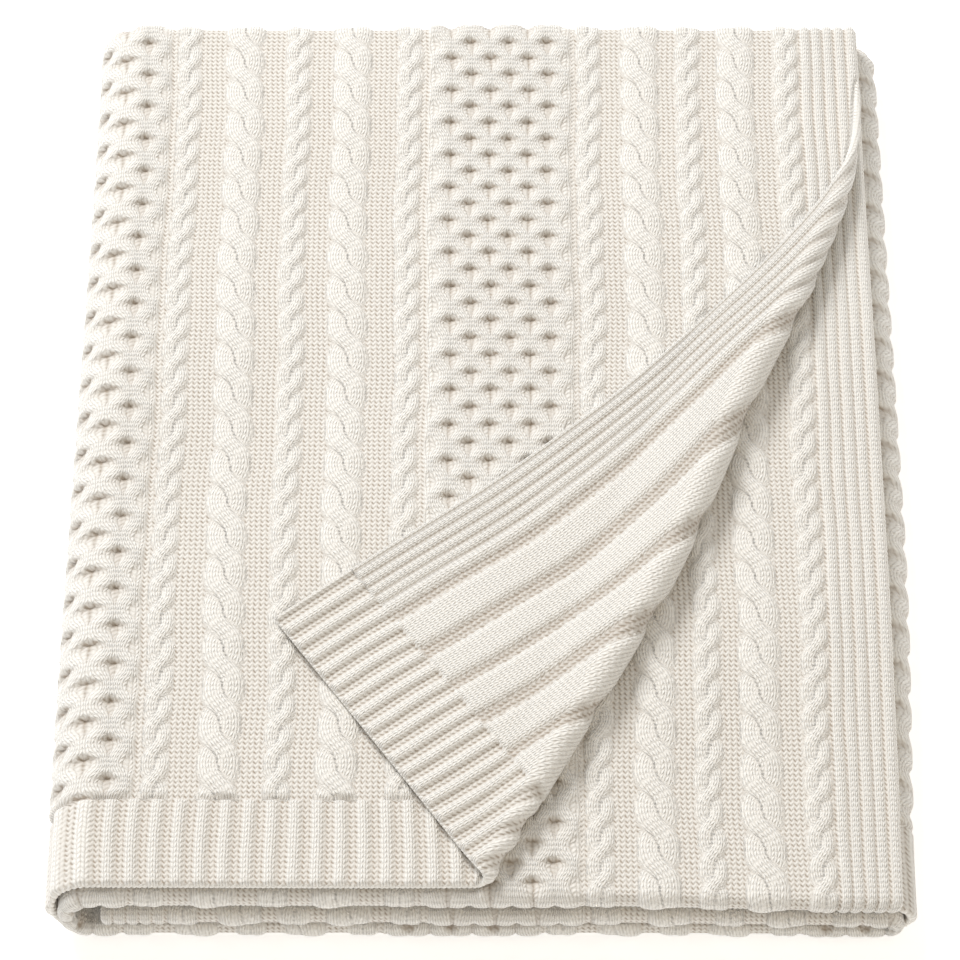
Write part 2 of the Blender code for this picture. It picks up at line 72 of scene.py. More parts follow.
@dataclass(frozen=True)
class Cloth:
    """The flat blanket."""

    width: float = 1.300
    length: float = 1.700
    thickness: float = 0.0036
    hem_depth: float = 0.050
    layer_step: float = 0.0050
    edge_round: float = 0.0024
    edge_least: float = 0.30
    outer_share: float = 0.8

    def half_thickness(self, u: Array, v: Array) -> Array:
        """Gives half the cloth's thickness, which rounds off at the cut's edges.

        Args:
            u: Places across the cloth.
            v: Places along the cloth.

        Returns:
            Half the thickness at each place.
        """
        inside = np.minimum(np.minimum(u, self.width - u), np.minimum(v, self.length - v))
        bare = 1 - np.clip(inside / self.edge_round, 0.0, 1.0)
        return self.thickness / 2 * (self.edge_least + (1 - self.edge_least) * np.sqrt(1 - bare * bare))


CLOTH = Cloth()


@dataclass(frozen=True)
class Run:
    """One straight run or round bend of a route."""

    start: float
    x: float
    y: float
    heading: float
    length: float
    radius: float

    def follow(self, length: Array) -> tuple[Array, Array, Array]:
        """Follows the run.

        Args:
            length: Lengths along the whole route that lie on this run.

        Returns:
            The x, the y and the heading at each length.
        """
        done = length - self.start
        if self.radius == 0:
            heading = np.full_like(done, self.heading)
            return self.x + done * math.cos(self.heading), self.y + done * math.sin(self.heading), heading
        heading = self.heading + done / self.radius
        x = self.x + self.radius * (np.sin(heading) - math.sin(self.heading))
        y = self.y - self.radius * (np.cos(heading) - math.cos(self.heading))
        return x, y, heading


class Route:
    """A flat line of straight runs and round bends, read by the length along it."""

    def __init__(self, x: float, y: float, degrees: float, steps: Sequence[tuple[float, float]]) -> None:
        """Lays the runs end to end.

        Args:
            x: The first point's x.
            y: The first point's y.
            degrees: The way the route heads at first, from the x axis.
            steps: A length and a radius for each run. A radius above 0 bends left, and 0 is straight.
        """
        self.runs: list[Run] = []
        start, heading = 0.0, math.radians(degrees)
        for length, radius in steps:
            run = Run(start, x, y, heading, length, radius)
            self.runs.append(run)
            start += length
            x, y, heading = (float(value) for value in run.follow(np.array(start)))
        self.ends = np.array([run.start + run.length for run in self.runs])

    def at(self, length: Array, left: Array) -> tuple[Array, Array]:
        """Finds points beside the route.

        Args:
            length: Lengths along the route.
            left: How far each point lies to the left of the route.

        Returns:
            The x and the y of each point.
        """
        which = np.minimum(np.searchsorted(self.ends, length, side="right"), len(self.runs) - 1)
        x, y = np.zeros_like(length), np.zeros_like(length)
        for number, run in enumerate(self.runs):
            here = which == number
            if here.any():
                run_x, run_y, heading = run.follow(length[here])
                x[here] = run_x - left[here] * np.sin(heading)
                y[here] = run_y + left[here] * np.cos(heading)
        return x, y


@dataclass(frozen=True)
class PackFold:
    """The letter fold: a pack of three layers, in y and height above the pack's middle."""

    hem_y: float = -0.2859
    back_y: float = 0.2791
    nose_y: float = -0.2867

    def route(self) -> Route:
        """Lays the cloth's way through the pack, along v.

        Returns:
            The route, in y and height above the pack's middle.
        """
        top, under = self.back_y - self.hem_y, self.back_y - self.nose_y
        back, nose = CLOTH.layer_step, CLOTH.layer_step / 2
        inside = CLOTH.length - top - under - math.pi * (back + nose)
        steps = ((top, 0), (math.pi * back, -back), (under, 0), (math.pi * nose, -nose), (inside, 0))
        return Route(self.hem_y, CLOTH.layer_step, 0, steps)


@dataclass(frozen=True)
class StackFold:
    """The roll of the pack round the stack, in x and z."""

    edge_x: float = 0.216
    left_x: float = -0.1965
    right_x: float = 0.212
    gap: float = 0.0022

    @property
    def half(self) -> float:
        """Half the height of one pack."""
        return CLOTH.layer_step + CLOTH.thickness / 2

    @property
    def step(self) -> float:
        """The height from one pack's middle to the next one's."""
        return 2 * self.half + self.gap

    @property
    def top_z(self) -> float:
        """The height of the top pack's middle."""
        return self.half + 2 * self.step

    def route(self) -> Route:
        """Lays the pack's way round the stack, along u.

        Returns:
            The route, in x and z.
        """
        top, under = self.edge_x - self.left_x, self.right_x - self.left_x
        left, right = self.step, self.step / 2
        middle = CLOTH.width - top - under - math.pi * (left + right)
        steps = ((top, 0), (math.pi * left, left), (under, 0), (math.pi * right, right), (middle, 0))
        return Route(self.edge_x, self.top_z, 180, steps)


PACK_FOLD = PackFold()
STACK_FOLD = StackFold()
PACK = PACK_FOLD.route()
STACK = STACK_FOLD.route()
LAYER_ONE_END, BACK_END, LAYER_TWO_END, NOSE_END, _ = (float(end) for end in PACK.ends)
TOP_END, LEFT_END, BASE_END, RIGHT_END, _ = (float(end) for end in STACK.ends)


@dataclass(frozen=True)
class FoldRow:
    """The fold of the corner at a share of its chord."""

    share: float
    bulge: float
    radius: float
    snug: float


@dataclass(frozen=True)
class TurnedCorner:
    """The front right corner of the top layer, rolled back over the top."""

    start: tuple[float, float] = (0.009, -0.278)
    end: tuple[float, float] = (0.216, 0.206)
    lean: float = math.radians(12)
    ease: float = 0.040
    shear: float = 0.10
    rise: float = 0.0062
    rows: tuple[FoldRow, ...] = (
        FoldRow(share=-0.05, bulge=-0.009, radius=0.0040, snug=0.92),
        FoldRow(share=0.12, bulge=-0.002, radius=0.0050, snug=0.92),
        FoldRow(share=0.36, bulge=0.0065, radius=0.0068, snug=0.96),
        FoldRow(share=0.48, bulge=0.006, radius=0.0070, snug=0.90),
        FoldRow(share=0.62, bulge=0.003, radius=0.0070, snug=0.78),
        FoldRow(share=0.80, bulge=0.005, radius=0.0062, snug=0.84),
        FoldRow(share=0.93, bulge=0.001, radius=0.0044, snug=0.95),
        FoldRow(share=1.06, bulge=-0.017, radius=0.0036, snug=1.00),
    )

    @property
    def chord(self) -> float:
        """The length of the fold's chord."""
        return math.dist(self.start, self.end)

    @property
    def way(self) -> tuple[float, float]:
        """The direction of the chord."""
        return (self.end[0] - self.start[0]) / self.chord, (self.end[1] - self.start[1]) / self.chord

    def fold_at(self, along: Array) -> tuple[Array, Array, Array]:
        """Reads the table on a smooth curve through its rows.

        Args:
            along: Lengths along the chord.

        Returns:
            The bulge, the radius and the snugness of the fold at each length.
        """
        table = np.array([(row.share, row.bulge, row.radius, row.snug) for row in self.rows])
        shares = table[:, 0]
        numbers = np.arange(len(table))
        before, after = np.maximum(numbers - 1, 0), np.minimum(numbers + 1, len(table) - 1)
        slopes = (table[after] - table[before]) / (shares[after] - shares[before])[:, None]
        share = np.clip(along / self.chord, shares[0], shares[-1])
        low = np.clip(np.searchsorted(shares, share, side="right") - 1, 0, len(table) - 2)
        wide = shares[low + 1] - shares[low]
        t = (share - shares[low]) / wide
        read = []
        for column in (1, 2, 3):
            a, b = table[low, column], table[low + 1, column]
            even = a + (b - a) * t * t * (3 - 2 * t)
            turn = (1 - t) * slopes[low, column] - t * slopes[low + 1, column]
            read.append(even + wide * t * (1 - t) * turn)
        return read[0], read[1], read[2]

    def to_fold(self, x: Array, y: Array) -> tuple[Array, Array]:
        """Measures places on the flat top layer from the fold's chord.

        Args:
            x: Places on the flat top layer.
            y: Places on the flat top layer.

        Returns:
            The length along the chord and the distance across it of each place.
        """
        along_x, along_y = self.way
        dx, dy = x - self.start[0], y - self.start[1]
        return dx * along_x + dy * along_y, dx * along_y - dy * along_x

    def from_fold(self, along: Array, across: Array) -> tuple[Array, Array]:
        """Goes back from the fold's chord to the flat top layer.

        Args:
            along: Lengths along the chord.
            across: Distances across it.

        Returns:
            The x and the y of each place.
        """
        along_x, along_y = self.way
        x = self.start[0] + along * along_x + across * along_y
        y = self.start[1] + along * along_y - across * along_x
        return x, y

    def section(self, length: Array, lift: Array, bulge: Array, radius: Array) -> tuple[Array, Array]:
        """Follows the roll, the slope behind it and the flat flap.

        Args:
            length: Lengths of cloth past the start of the roll.
            lift: How far each point lies off the cloth's middle, on its face side.
            bulge: Where the roll starts, across the chord.
            radius: The radius of the roll.

        Returns:
            The distance across the chord and the height of each point.
        """
        full = math.pi + self.lean
        drop = self.ease * (1 - math.cos(self.lean))
        top = radius * (1 + math.cos(self.lean))
        slope = np.maximum(0.0, top - drop - self.rise) / math.sin(self.lean)
        angle = np.clip(length / radius, 0.0, full)
        run = np.clip(length - full * radius, 0.0, slope)
        bend = np.clip((length - full * radius - slope) / self.ease, 0.0, self.lean)
        rest = np.maximum(0.0, length - full * radius - slope - self.ease * self.lean)
        heading = angle - bend
        across = bulge + radius * np.sin(angle) + run * math.cos(full)
        across -= self.ease * (np.sin(full - bend) - math.sin(full)) + rest
        height = radius * (1 - np.cos(angle)) + run * math.sin(full)
        height += self.ease * (np.cos(full - bend) - math.cos(full))
        return across - lift * np.sin(heading), height + lift * np.cos(heading)

    def turn(self, x: Array, y: Array, lift: Array) -> tuple[Array, Array, Array]:
        """Turns the corner back.

        Args:
            x: Places on the flat top layer.
            y: Places on the flat top layer.
            lift: How far each point lies off the cloth's middle, on its face side.

        Returns:
            The x, the y and the height above the layer's middle of each point.
        """
        along, across = self.to_fold(x, y)
        bulge, radius, snug = self.fold_at(along)
        past = across - bulge
        roll = (math.pi + self.lean) * radius
        flap = np.maximum(0.0, past - roll)
        length = np.minimum(past, roll) + flap * snug
        section_across, height = self.section(length, lift, bulge, radius)
        turned_x, turned_y = self.from_fold(along + self.shear * flap, section_across)
        turned = past > 0
        return np.where(turned, turned_x, x), np.where(turned, turned_y, y), np.where(turned, height, lift)

    def past(self, x: Array, y: Array) -> Array:
        """Returns how far places on the flat top layer lie past the start of the roll."""
        along, across = self.to_fold(x, y)
        return across - self.fold_at(along)[0]

    def turned_angle(self, x: Array, y: Array) -> Array:
        """Finds how far the cloth has turned.

        Args:
            x: Places on the flat top layer.
            y: Places on the flat top layer.

        Returns:
            The angle at each place, in radians.
        """
        along, across = self.to_fold(x, y)
        bulge, radius, _ = self.fold_at(along)
        return (across - bulge) / radius

    def covered(self, x: Array, y: Array) -> Array:
        """Finds what the flap covers.

        Args:
            x: Places on the flat top layer.
            y: Places on the flat top layer.

        Returns:
            How far inside the flap's free edges each place lies, and below 0 where it is not covered.
        """
        along, across = self.to_fold(x, y)
        bulge, radius, snug = self.fold_at(along)
        flap = (bulge - across) / snug
        roll = (math.pi + self.lean) * radius
        flat_x, flat_y = self.from_fold(along - self.shear * flap, bulge + roll + flap)
        inside = np.minimum(STACK_FOLD.edge_x - flat_x, flat_y - PACK_FOLD.hem_y)
        return np.where(across < bulge, inside, -np.abs(across - bulge))


CORNER = TurnedCorner()


@dataclass(frozen=True)
class Settling:
    """The small sags and leans of the folded stack as it lies, and the middle of its outline.

    Each pair is where a rise starts and how long its run is.
    """

    droop: float = 0.15
    middle_x: float = 0.0038
    middle_y: float = -0.00325
    ripple: float = 0.0006
    front: tuple[float, float] = (0.10, 0.19)
    right: tuple[float, float] = (0.03, 0.17)
    upper: tuple[float, float] = (0.024, 0.012)
    corner_x: tuple[float, float] = (0.12, 0.10)
    corner_y: tuple[float, float] = (0.05, 0.24)
    left: tuple[float, float] = (0.12, 0.10)
    back: tuple[float, float] = (-0.20, 0.45)
    rippled: tuple[float, float] = (0.012, 0.03)
    front_lean: float = 0.0014
    corner_lean: float = 0.0015
    corner_low_lean: float = 0.0045
    left_lean: float = 0.0030
    slant_share: float = 0.6

    def settle(self, x: Array, y: Array, z: Array) -> tuple[Array, Array, Array]:
        """Sags, leans and centres the stack.

        Args:
            x: Places across the stack.
            y: Places along the stack.
            z: Heights above the surface.

        Returns:
            The moved x, y and z.
        """
        front = rise(-y, *self.front)
        z = z * (1 - self.droop * front * rise(x, *self.right))
        low = 1 - rise(z, *self.upper)
        y = y - self.front_lean * front * low
        corner = rise(x, *self.corner_x) * rise(-y, *self.corner_y)
        x = x - (self.corner_lean + self.corner_low_lean * low) * corner
        x = x + self.left_lean * rise(-x, *self.left) * rise(y, *self.back)
        wave = np.sin(x * 31 + 1.0) * np.sin(y * 23 + 0.4) + self.slant_share * np.sin(x * 17 - y * 41)
        z = z + self.ripple * wave * rise(z, *self.rippled)
        return x - self.middle_x, y - self.middle_y, np.maximum(z, 0.0)


SETTLING = Settling()


def place(u: Array, v: Array, lift: Array) -> Array:
    """Places points of the cloth in the folded stack.

    Args:
        u: Places across the cloth.
        v: Places along the cloth.
        lift: How far each point lies off the cloth's middle, on its face side.

    Returns:
        One row of x, y and z for each point.
    """
    u, v, lift = (np.asarray(value, float) for value in (u, v, lift))
    y, height = PACK.at(v, lift)
    x, z = STACK.at(u, -height)
    top = (v <= LAYER_ONE_END) & (u <= TOP_END)
    if top.any():
        turned = CORNER.turn(STACK_FOLD.edge_x - u[top], y[top], lift[top])
        x[top], y[top] = turned[0], turned[1]
        z[top] = STACK_FOLD.top_z + CLOTH.layer_step + turned[2]
    return np.stack(SETTLING.settle(x, y, z), axis=-1)


def knitted_rows(v: Array, rows: float) -> Array:
    """Counts the rows of the knitting's outer side, which is longer than the cloth's middle round the bends.

    Args:
        v: Places along the cloth.
        rows: The length of one row.

    Returns:
        The row at each place.
    """
    off = CLOTH.thickness * CLOTH.outer_share
    back = np.clip(v - LAYER_ONE_END, 0, BACK_END - LAYER_ONE_END) * off / CLOTH.layer_step
    nose = np.clip(v - LAYER_TWO_END, 0, NOSE_END - LAYER_TWO_END) * off / (CLOTH.layer_step / 2)
    return (v + back + nose) / rows


@dataclass
class Knit:
    """What the knitting is at each point: height, stitch grid, plainness, painted shade and clearness."""

    height: Array
    column: Array
    row: Array
    plain: Array
    shade: Array
    clear: Array

    def lay(self, here: Array, other: "Knit") -> None:
        """Puts another knitting on some points.

        Args:
            here: Which points it goes on.
            other: The knitting of those points alone.
        """
        for name in ("height", "column", "row", "plain", "shade", "clear"):
            getattr(self, name)[here] = getattr(other, name)


@dataclass(frozen=True)
class PurlGround:
    """The rough ground between the cables."""

    stitch: float = 0.002925
    rows: float = 0.00295
    # Painted shade of the purl ground, which lies lower than the cables.
    shade: float = 0.20

    def row(self, v: Array) -> Array:
        """Returns the row at places along the cloth."""
        return knitted_rows(v, self.rows)

    def knit(self, u: Array, v: Array) -> Knit:
        """Returns the ground's knitting at places of the cloth."""
        flat, full = np.zeros_like(u), np.ones_like(u)
        return Knit(flat, u / self.stitch, self.row(v), flat.copy(), full * self.shade, full)


GROUND = PurlGround()


@dataclass(frozen=True)
class Ribs:
    """A band of ribs along the cloth."""

    pitch: float
    height: float
    wide: float
    # The painted shade in the grooves between the ribs.
    groove: float = 0.36
    slope: float = 0.36
    crown: float = 0.22
    plain_edge: float = 0.16

    def knit(self, u: Array, v: Array, column: Array) -> Knit:
        """Knits the ribs.

        Args:
            u: Places across the cloth.
            v: Places along the cloth.
            column: The stitch column at each place.

        Returns:
            The knitting, with its plain stitches on the ribs.
        """
        off = np.abs(u / self.pitch % 1.0 - 0.5) * 2
        on_rib = smooth((self.wide - off) / self.slope + 0.5)
        crown = 1 - self.crown * np.clip(off / self.wide, 0, 1) ** 2
        plain = smooth((self.wide - off) / self.plain_edge + 0.5)
        # Painted shade in the grooves between the ribs.
        shade = self.groove * (1 - on_rib)
        return Knit(self.height * on_rib * crown, column, GROUND.row(v), plain, shade, np.ones_like(u))


@dataclass(frozen=True)
class Rope:
    """A cable of two strands that twist round each other."""

    middle: float
    width: float
    height: float
    pitch: float
    lean: int
    strand_share: float = 0.57
    snap: float = 0.70
    blend: float = 0.05
    seam: float = 0.08
    # The painted shade where one strand dives under the other.
    seam_shade: float = 0.18
    unclear: float = 0.22
    unclear_start: float = 0.15
    plain_rise: float = 0.2
    round_share: float = 0.50
    flank_share: float = 0.26
    over_share: float = 0.30
    flank_power: float = 0.4

    def covers(self, u: Array) -> Array:
        """Returns which places the cable covers."""
        return np.abs(u - self.middle) < self.width / 2

    def strand(self, u: Array, v: Array, start: float) -> tuple[Array, Array, Array]:
        """Follows one strand.

        Args:
            u: Places across the cloth.
            v: Places along the cloth.
            start: The strand's turn at the hem.

        Returns:
            The strand's height, the distance across it as a share of its half width, and its stitches' rows.
        """
        reach = self.width * self.strand_share / 2
        swing = self.width / 2 - reach
        phase = math.pi * v / self.pitch + start
        wave, over = np.cos(phase), np.sin(phase)
        bent = np.tanh(self.snap * wave) / math.tanh(self.snap)
        slope = swing * over * math.pi / self.pitch * self.snap / np.cosh(self.snap * wave) ** 2
        slope = self.lean * slope / math.tanh(self.snap)
        across = (u - self.middle + self.lean * swing * bent) / np.sqrt(1 + slope * slope)
        share = across / reach
        shape = np.clip(1 - share * share, 0.0, 1.0)
        flank = (self.flank_share + self.over_share * over) * shape**self.flank_power
        height = self.height * (self.round_share * np.sqrt(shape) + flank)
        return height, share, v + across * slope / np.sqrt(1 + slope * slope)

    def knit(self, u: Array, v: Array) -> Knit:
        """Knits the cable.

        Args:
            u: Places across the cloth.
            v: Places along the cloth.

        Returns:
            The knitting, whose stitches follow the strands.
        """
        one, two = self.strand(u, v, 0.0), self.strand(u, v, math.pi)
        first = one[0] >= two[0]
        share, along = np.where(first, one[1], two[1]), np.where(first, one[2], two[2])
        blend = self.height * self.blend
        gap = one[0] - two[0]
        height = (one[0] + two[0] + np.sqrt(gap * gap + blend * blend)) / 2 - blend / 2
        height = np.maximum(height, 0.0)
        on = height > 0
        seam = np.exp(-((gap / (self.height * self.seam)) ** 2)) * on
        ground = GROUND.knit(u, v)
        count = round(self.width * self.strand_share / GROUND.stitch)
        first_column = round(self.middle / GROUND.stitch - count / 2)
        column = np.where(on, (share + 1) * count / 2 + first_column, ground.column)
        edge = np.minimum(np.abs(np.abs(one[1]) - 1), np.abs(np.abs(two[1]) - 1)) / self.unclear
        parted = np.abs(gap) / (self.height * self.seam * 2) + (1 - on)
        clear = smooth(edge + self.unclear_start) * smooth(parted + self.unclear_start)
        # Painted shade in the crossing between the strands, and the ground's painted shade beside the cable.
        shade = np.where(on, self.seam_shade * seam, ground.shade)
        row = np.where(on, GROUND.row(along), ground.row)
        return Knit(height, column, row, smooth(height / (self.height * self.plain_rise)), shade, clear)


@dataclass(frozen=True)
class Honeycomb:
    """A panel of pockets between strands that meet and part."""

    middle: float
    half_width: float = 0.042
    cell: float = 0.0218
    pitch: float = 0.0236
    columns: int = 7
    height: float = 0.0026
    depth: float = 0.0021
    swing: float = 0.0034
    strand_half: float = 0.0058
    pocket_rise: float = 0.0050
    pocket_half: float = 0.0094
    arch: float = 0.55
    arch_round: float = 0.0016
    wall: float = 0.0011
    depth_run: float = 0.0034
    core: float = 0.0046
    cap: float = 0.0010
    cap_share: float = 0.85
    core_rest: float = 0.15
    core_power: float = 0.6
    core_rough: float = 0.8
    stem_half: float = 0.0010
    stem_reach: float = 0.66
    stem_fade: float = 0.004
    part: float = 0.0023
    strand_floor: float = 0.25
    wings_depth: float = 0.95
    core_depth: float = 0.35
    stem_depth: float = 0.0004
    # The painted shade between the strands, in the pockets' wings and middles, and along the stems.
    between_shade: float = 0.12
    wings_shade: float = 0.60
    core_shade: float = 0.50
    stem_shade: float = 0.44
    past_edge: float = 0.0036
    edge_fade: float = 0.0040

    def covers(self, u: Array) -> Array:
        """Returns which places the panel covers."""
        return np.abs(u - self.middle) < self.half_width

    def knit(self, u: Array, v: Array) -> Knit:
        """Knits the panel.

        Args:
            u: Places across the cloth.
            v: Places along the cloth.

        Returns:
            The knitting, whose stitches part round the pockets.
        """
        half = self.cell / 2
        place_in = (u - self.middle) / half - 0.5
        wave = np.cos(math.tau * v / self.pitch)
        wings, core, stem, strand = (np.zeros_like(u) for _ in range(4))
        for column in (np.floor(place_in), np.floor(place_in) + 1):
            off = (place_in - column) * half
            down = (column * self.pitch / 2 + self.pocket_rise - v) % self.pitch
            whole = np.abs(column + 0.5) < self.columns / 2
            wide, deep, line = (part * whole for part in self.pocket(off, down))
            wings, core, stem = np.maximum(wings, wide), np.maximum(core, deep), np.maximum(stem, line)
        for number in (np.floor(place_in - 0.5), np.floor(place_in - 0.5) + 1):
            bent = np.where(number % 2 == 0, 1.0, -1.0) * wave * self.swing
            away = ((place_in - number - 0.5) * half - bent) / self.strand_half
            strand = np.maximum(strand, np.sqrt(np.clip(1 - away * away, 0.0, 1.0)))
        column = np.round(place_in)
        phase = math.tau * (v - column * self.pitch / 2) / self.pitch
        apart = self.part * np.sin(math.pi * (place_in - column)) * np.cos(phase)
        fade = smooth((self.columns / 2 * half + self.past_edge - np.abs(u - self.middle)) / self.edge_fade)
        height = self.height * (self.strand_floor + (1 - self.strand_floor) * strand)
        height -= self.depth * (self.wings_depth * wings + self.core_depth * core)
        height -= self.stem_depth * stem
        # Painted shade in the pockets under their arches, along the stems and between the strands.
        shade = self.between_shade * (1 - strand) + self.wings_shade * wings
        shade = np.clip(shade + self.core_shade * core + self.stem_shade * stem, 0.0, 1.0) * fade
        shade += GROUND.shade * (1 - fade)
        plain = smooth(fade * 2) * (1 - self.core_rough * smooth(core * 2))
        stitch = (u - apart * fade) / GROUND.stitch
        return Knit(height * fade, stitch, GROUND.row(v), plain, shade, np.ones_like(u))

    def pocket(self, off: Array, down: Array) -> tuple[Array, Array, Array]:
        """Shapes one pocket: its wide shallow wings, its deep middle and the line of stitches below it.

        Args:
            off: The distance from the pocket's middle, across the cloth.
            down: The distance below the top of its arch.

        Returns:
            How strong the wings, the middle and the line are, from 0 to 1.
        """
        below = down - self.arch * (np.sqrt(off**2 + self.arch_round**2) - self.arch_round)
        wings = smooth(below / self.wall + 0.5) * np.exp(-np.maximum(below, 0.0) / self.depth_run)
        wings *= np.clip(1 - (off / self.pocket_half) ** 2, 0.0, 1.0)
        middle = np.clip(1 - (off / self.core) ** 2, 0.0, 1.0) ** self.core_power
        start = smooth(below / self.wall + 0.6)
        cap = np.exp(-((np.maximum(below, 0.0) / self.cap) ** 2))
        core = middle * start * (cap * self.cap_share + self.core_rest * wings)
        line = np.exp(-((off / self.stem_half) ** 2)) * smooth(below / (2 * self.stem_half))
        return wings, core, line * smooth((self.pitch * self.stem_reach - down) / self.stem_fade)


class PanelKind(Enum):
    """What a strip of the cloth is knitted in."""

    BORDER = "border"
    CABLES = "cables"
    HONEYCOMB = "honeycomb"


@dataclass(frozen=True)
class CableSize:
    """The size of a cable, and where it lies in its panel."""

    share: float
    width: float
    height: float
    pitch: float
    lean: int


@dataclass
class KnitChart:
    """The whole blanket's knitting."""

    half_panels: tuple[tuple[PanelKind, float], ...] = (
        (PanelKind.BORDER, 0.0330),
        (PanelKind.CABLES, 0.1300),
        (PanelKind.HONEYCOMB, 0.0840),
        (PanelKind.CABLES, 0.1455),
        (PanelKind.HONEYCOMB, 0.0840),
        (PanelKind.CABLES, 0.1315),
        (PanelKind.HONEYCOMB, 0.0420),
    )
    cables: tuple[CableSize, ...] = (
        CableSize(share=0.065, width=0.0145, height=0.0024, pitch=0.0177, lean=-1),
        CableSize(share=0.290, width=0.0220, height=0.0028, pitch=0.0236, lean=1),
        CableSize(share=0.500, width=0.0145, height=0.0024, pitch=0.0177, lean=-1),
        CableSize(share=0.710, width=0.0220, height=0.0028, pitch=0.0236, lean=1),
        CableSize(share=0.935, width=0.0145, height=0.0024, pitch=0.0177, lean=-1),
    )
    hem: Ribs = Ribs(pitch=0.0117, height=0.0021, wide=0.50, groove=0.30)
    border: Ribs = Ribs(pitch=0.0066, height=0.0017, wide=0.76, groove=0.12)
    border_stitch: float = 0.0022
    back_ridge: float = 0.0026
    fade: float = 0.0028
    groove_share: float = 0.30
    ridge_round: float = 0.0052
    wander: float = 0.0006
    wander_edge: float = 0.05
    fray: float = 0.0005
    lump: float = 0.0007
    # The painted shade in the rough grooves behind the cables, varied by the lumps in them.
    back_shade: float = 0.42
    back_lump_shade: float = 0.24
    hem_rise: float = 0.0024
    hem_floor: float = 0.25
    # A painted shadow line along the top of the hem, where the cables end.
    line_shade: float = 0.12
    line_off: float = 0.0008
    line_half: float = 0.0016
    ropes: list[Rope] = field(default_factory=list)
    honeycombs: list[Honeycomb] = field(default_factory=list)

    def __post_init__(self) -> None:
        """Lays the panels across the cloth, the second half as a mirror image."""
        start = 0.0
        strips = []
        for kind, width in self.half_panels + self.half_panels[::-1]:
            strips.append((kind, start, start + width))
            start += width
        half = len(self.half_panels)
        for number, (kind, low, high) in enumerate(strips):
            if kind is PanelKind.CABLES:
                for size in self.cables:
                    middle = low + (high - low) * size.share
                    self.ropes.append(Rope(middle, size.width, size.height, size.pitch, size.lean))
            elif kind is PanelKind.HONEYCOMB and number not in (half - 1, half):
                self.honeycombs.append(Honeycomb((low + high) / 2))
        self.honeycombs.append(Honeycomb(CLOTH.width / 2))

    def from_edge(self, u: Array) -> Array:
        """Returns the distance from the nearer side edge."""
        return np.minimum(u, CLOTH.width - u)

    def from_hem(self, v: Array) -> Array:
        """Returns the distance from the nearer hem."""
        return np.minimum(v, CLOTH.length - v)

    def wandered(self, u: Array, v: Array) -> Array:
        """Returns places across the cloth, moved a little as the columns wander from side to side."""
        sway = self.wander * smooth(self.from_edge(u) / self.wander_edge)
        return u + sway * (np.sin(v * 34 + u * 11) + 0.6 * np.sin(v * 83 - u * 29 + 1.3))

    def face(self, u: Array, v: Array) -> Knit:
        """Knits the cloth's face.

        Args:
            u: Places across the cloth.
            v: Places along the cloth.

        Returns:
            The knitting of the face.
        """
        u = self.wandered(u, v)
        knit = GROUND.knit(u, v)
        for pattern in self.ropes + self.honeycombs:
            here = pattern.covers(u)
            if here.any():
                knit.lay(here, pattern.knit(u[here], v[here]))
        here = self.from_edge(u) < self.half_panels[0][1]
        if here.any():
            knit.lay(here, self.border.knit(self.from_edge(u)[here], v[here], self.border_column(u[here])))
        hem = self.from_hem(v) < CLOTH.hem_depth
        knit.height *= smooth((self.from_hem(v) - CLOTH.hem_depth) / self.fade)
        if hem.any():
            knit.lay(hem, self.hem.knit(u[hem], v[hem], u[hem] / GROUND.stitch))
            inside = CLOTH.hem_depth - self.from_hem(v[hem])
            knit.height[hem] *= smooth(inside / self.hem_rise + self.hem_floor)
        # A painted shadow line along the top of the hem, where the cables end.
        above = self.from_hem(v) - CLOTH.hem_depth - self.line_off
        knit.shade += self.line_shade * np.exp(-((above / self.line_half) ** 2))
        return knit

    def border_column(self, u: Array) -> Array:
        """Returns the stitch columns of the side borders, which go on from the ground's."""
        inner = np.where(u < CLOTH.width / 2, self.half_panels[0][1], CLOTH.width - self.half_panels[0][1])
        return inner / GROUND.stitch + (u - inner) / self.border_stitch

    def back(self, u: Array, v: Array) -> Knit:
        """Knits the cloth's back: broad plain ridges between the rough backs of the cables.

        Args:
            u: Places across the cloth.
            v: Places along the cloth.

        Returns:
            The knitting of the back.
        """
        u = self.wandered(u, v)
        knit = GROUND.knit(u, v)
        inside = np.full_like(u, self.ridge_round)
        for rope in self.ropes:
            rough = np.sin(v * 1030 + 3 * np.sin(v * 146 + rope.middle * 300))
            rough += 0.7 * np.sin(v * 1700 + u * 700)
            groove = rope.width / 2 * self.groove_share + self.fray * rough
            inside = np.minimum(inside, np.abs(u - rope.middle) - groove)
        inside = np.clip(inside / self.ridge_round, 0.0, 1.0)
        lumps = 0.5 + 0.5 * np.sin(v * 940 + u * 520) * np.sin(u * 1500 - v * 260)
        ridge = self.back_ridge * (1 - (1 - inside) ** 2)
        knit.height[:] = ridge + self.lump * lumps * (1 - smooth(inside * 3))
        knit.plain[:] = smooth(inside * 4)
        # Painted shade in the grooves behind the cables.
        knit.shade[:] = (self.back_shade + self.back_lump_shade * (1 - lumps)) * (1 - smooth(inside * 2.6))
        side = self.from_edge(u)
        here = side < self.half_panels[0][1]
        if here.any():
            across = side[here] + self.border.pitch / 2
            knit.lay(here, self.border.knit(across, v[here], self.border_column(u[here])))
        hem = self.from_hem(v) < CLOTH.hem_depth
        if hem.any():
            knit.lay(hem, self.hem.knit(u[hem] + self.hem.pitch / 2, v[hem], u[hem] / GROUND.stitch))
        return knit


CHART = KnitChart()


class Side(Enum):
    """The two sides of the cloth."""

    FACE = 1
    BACK = -1


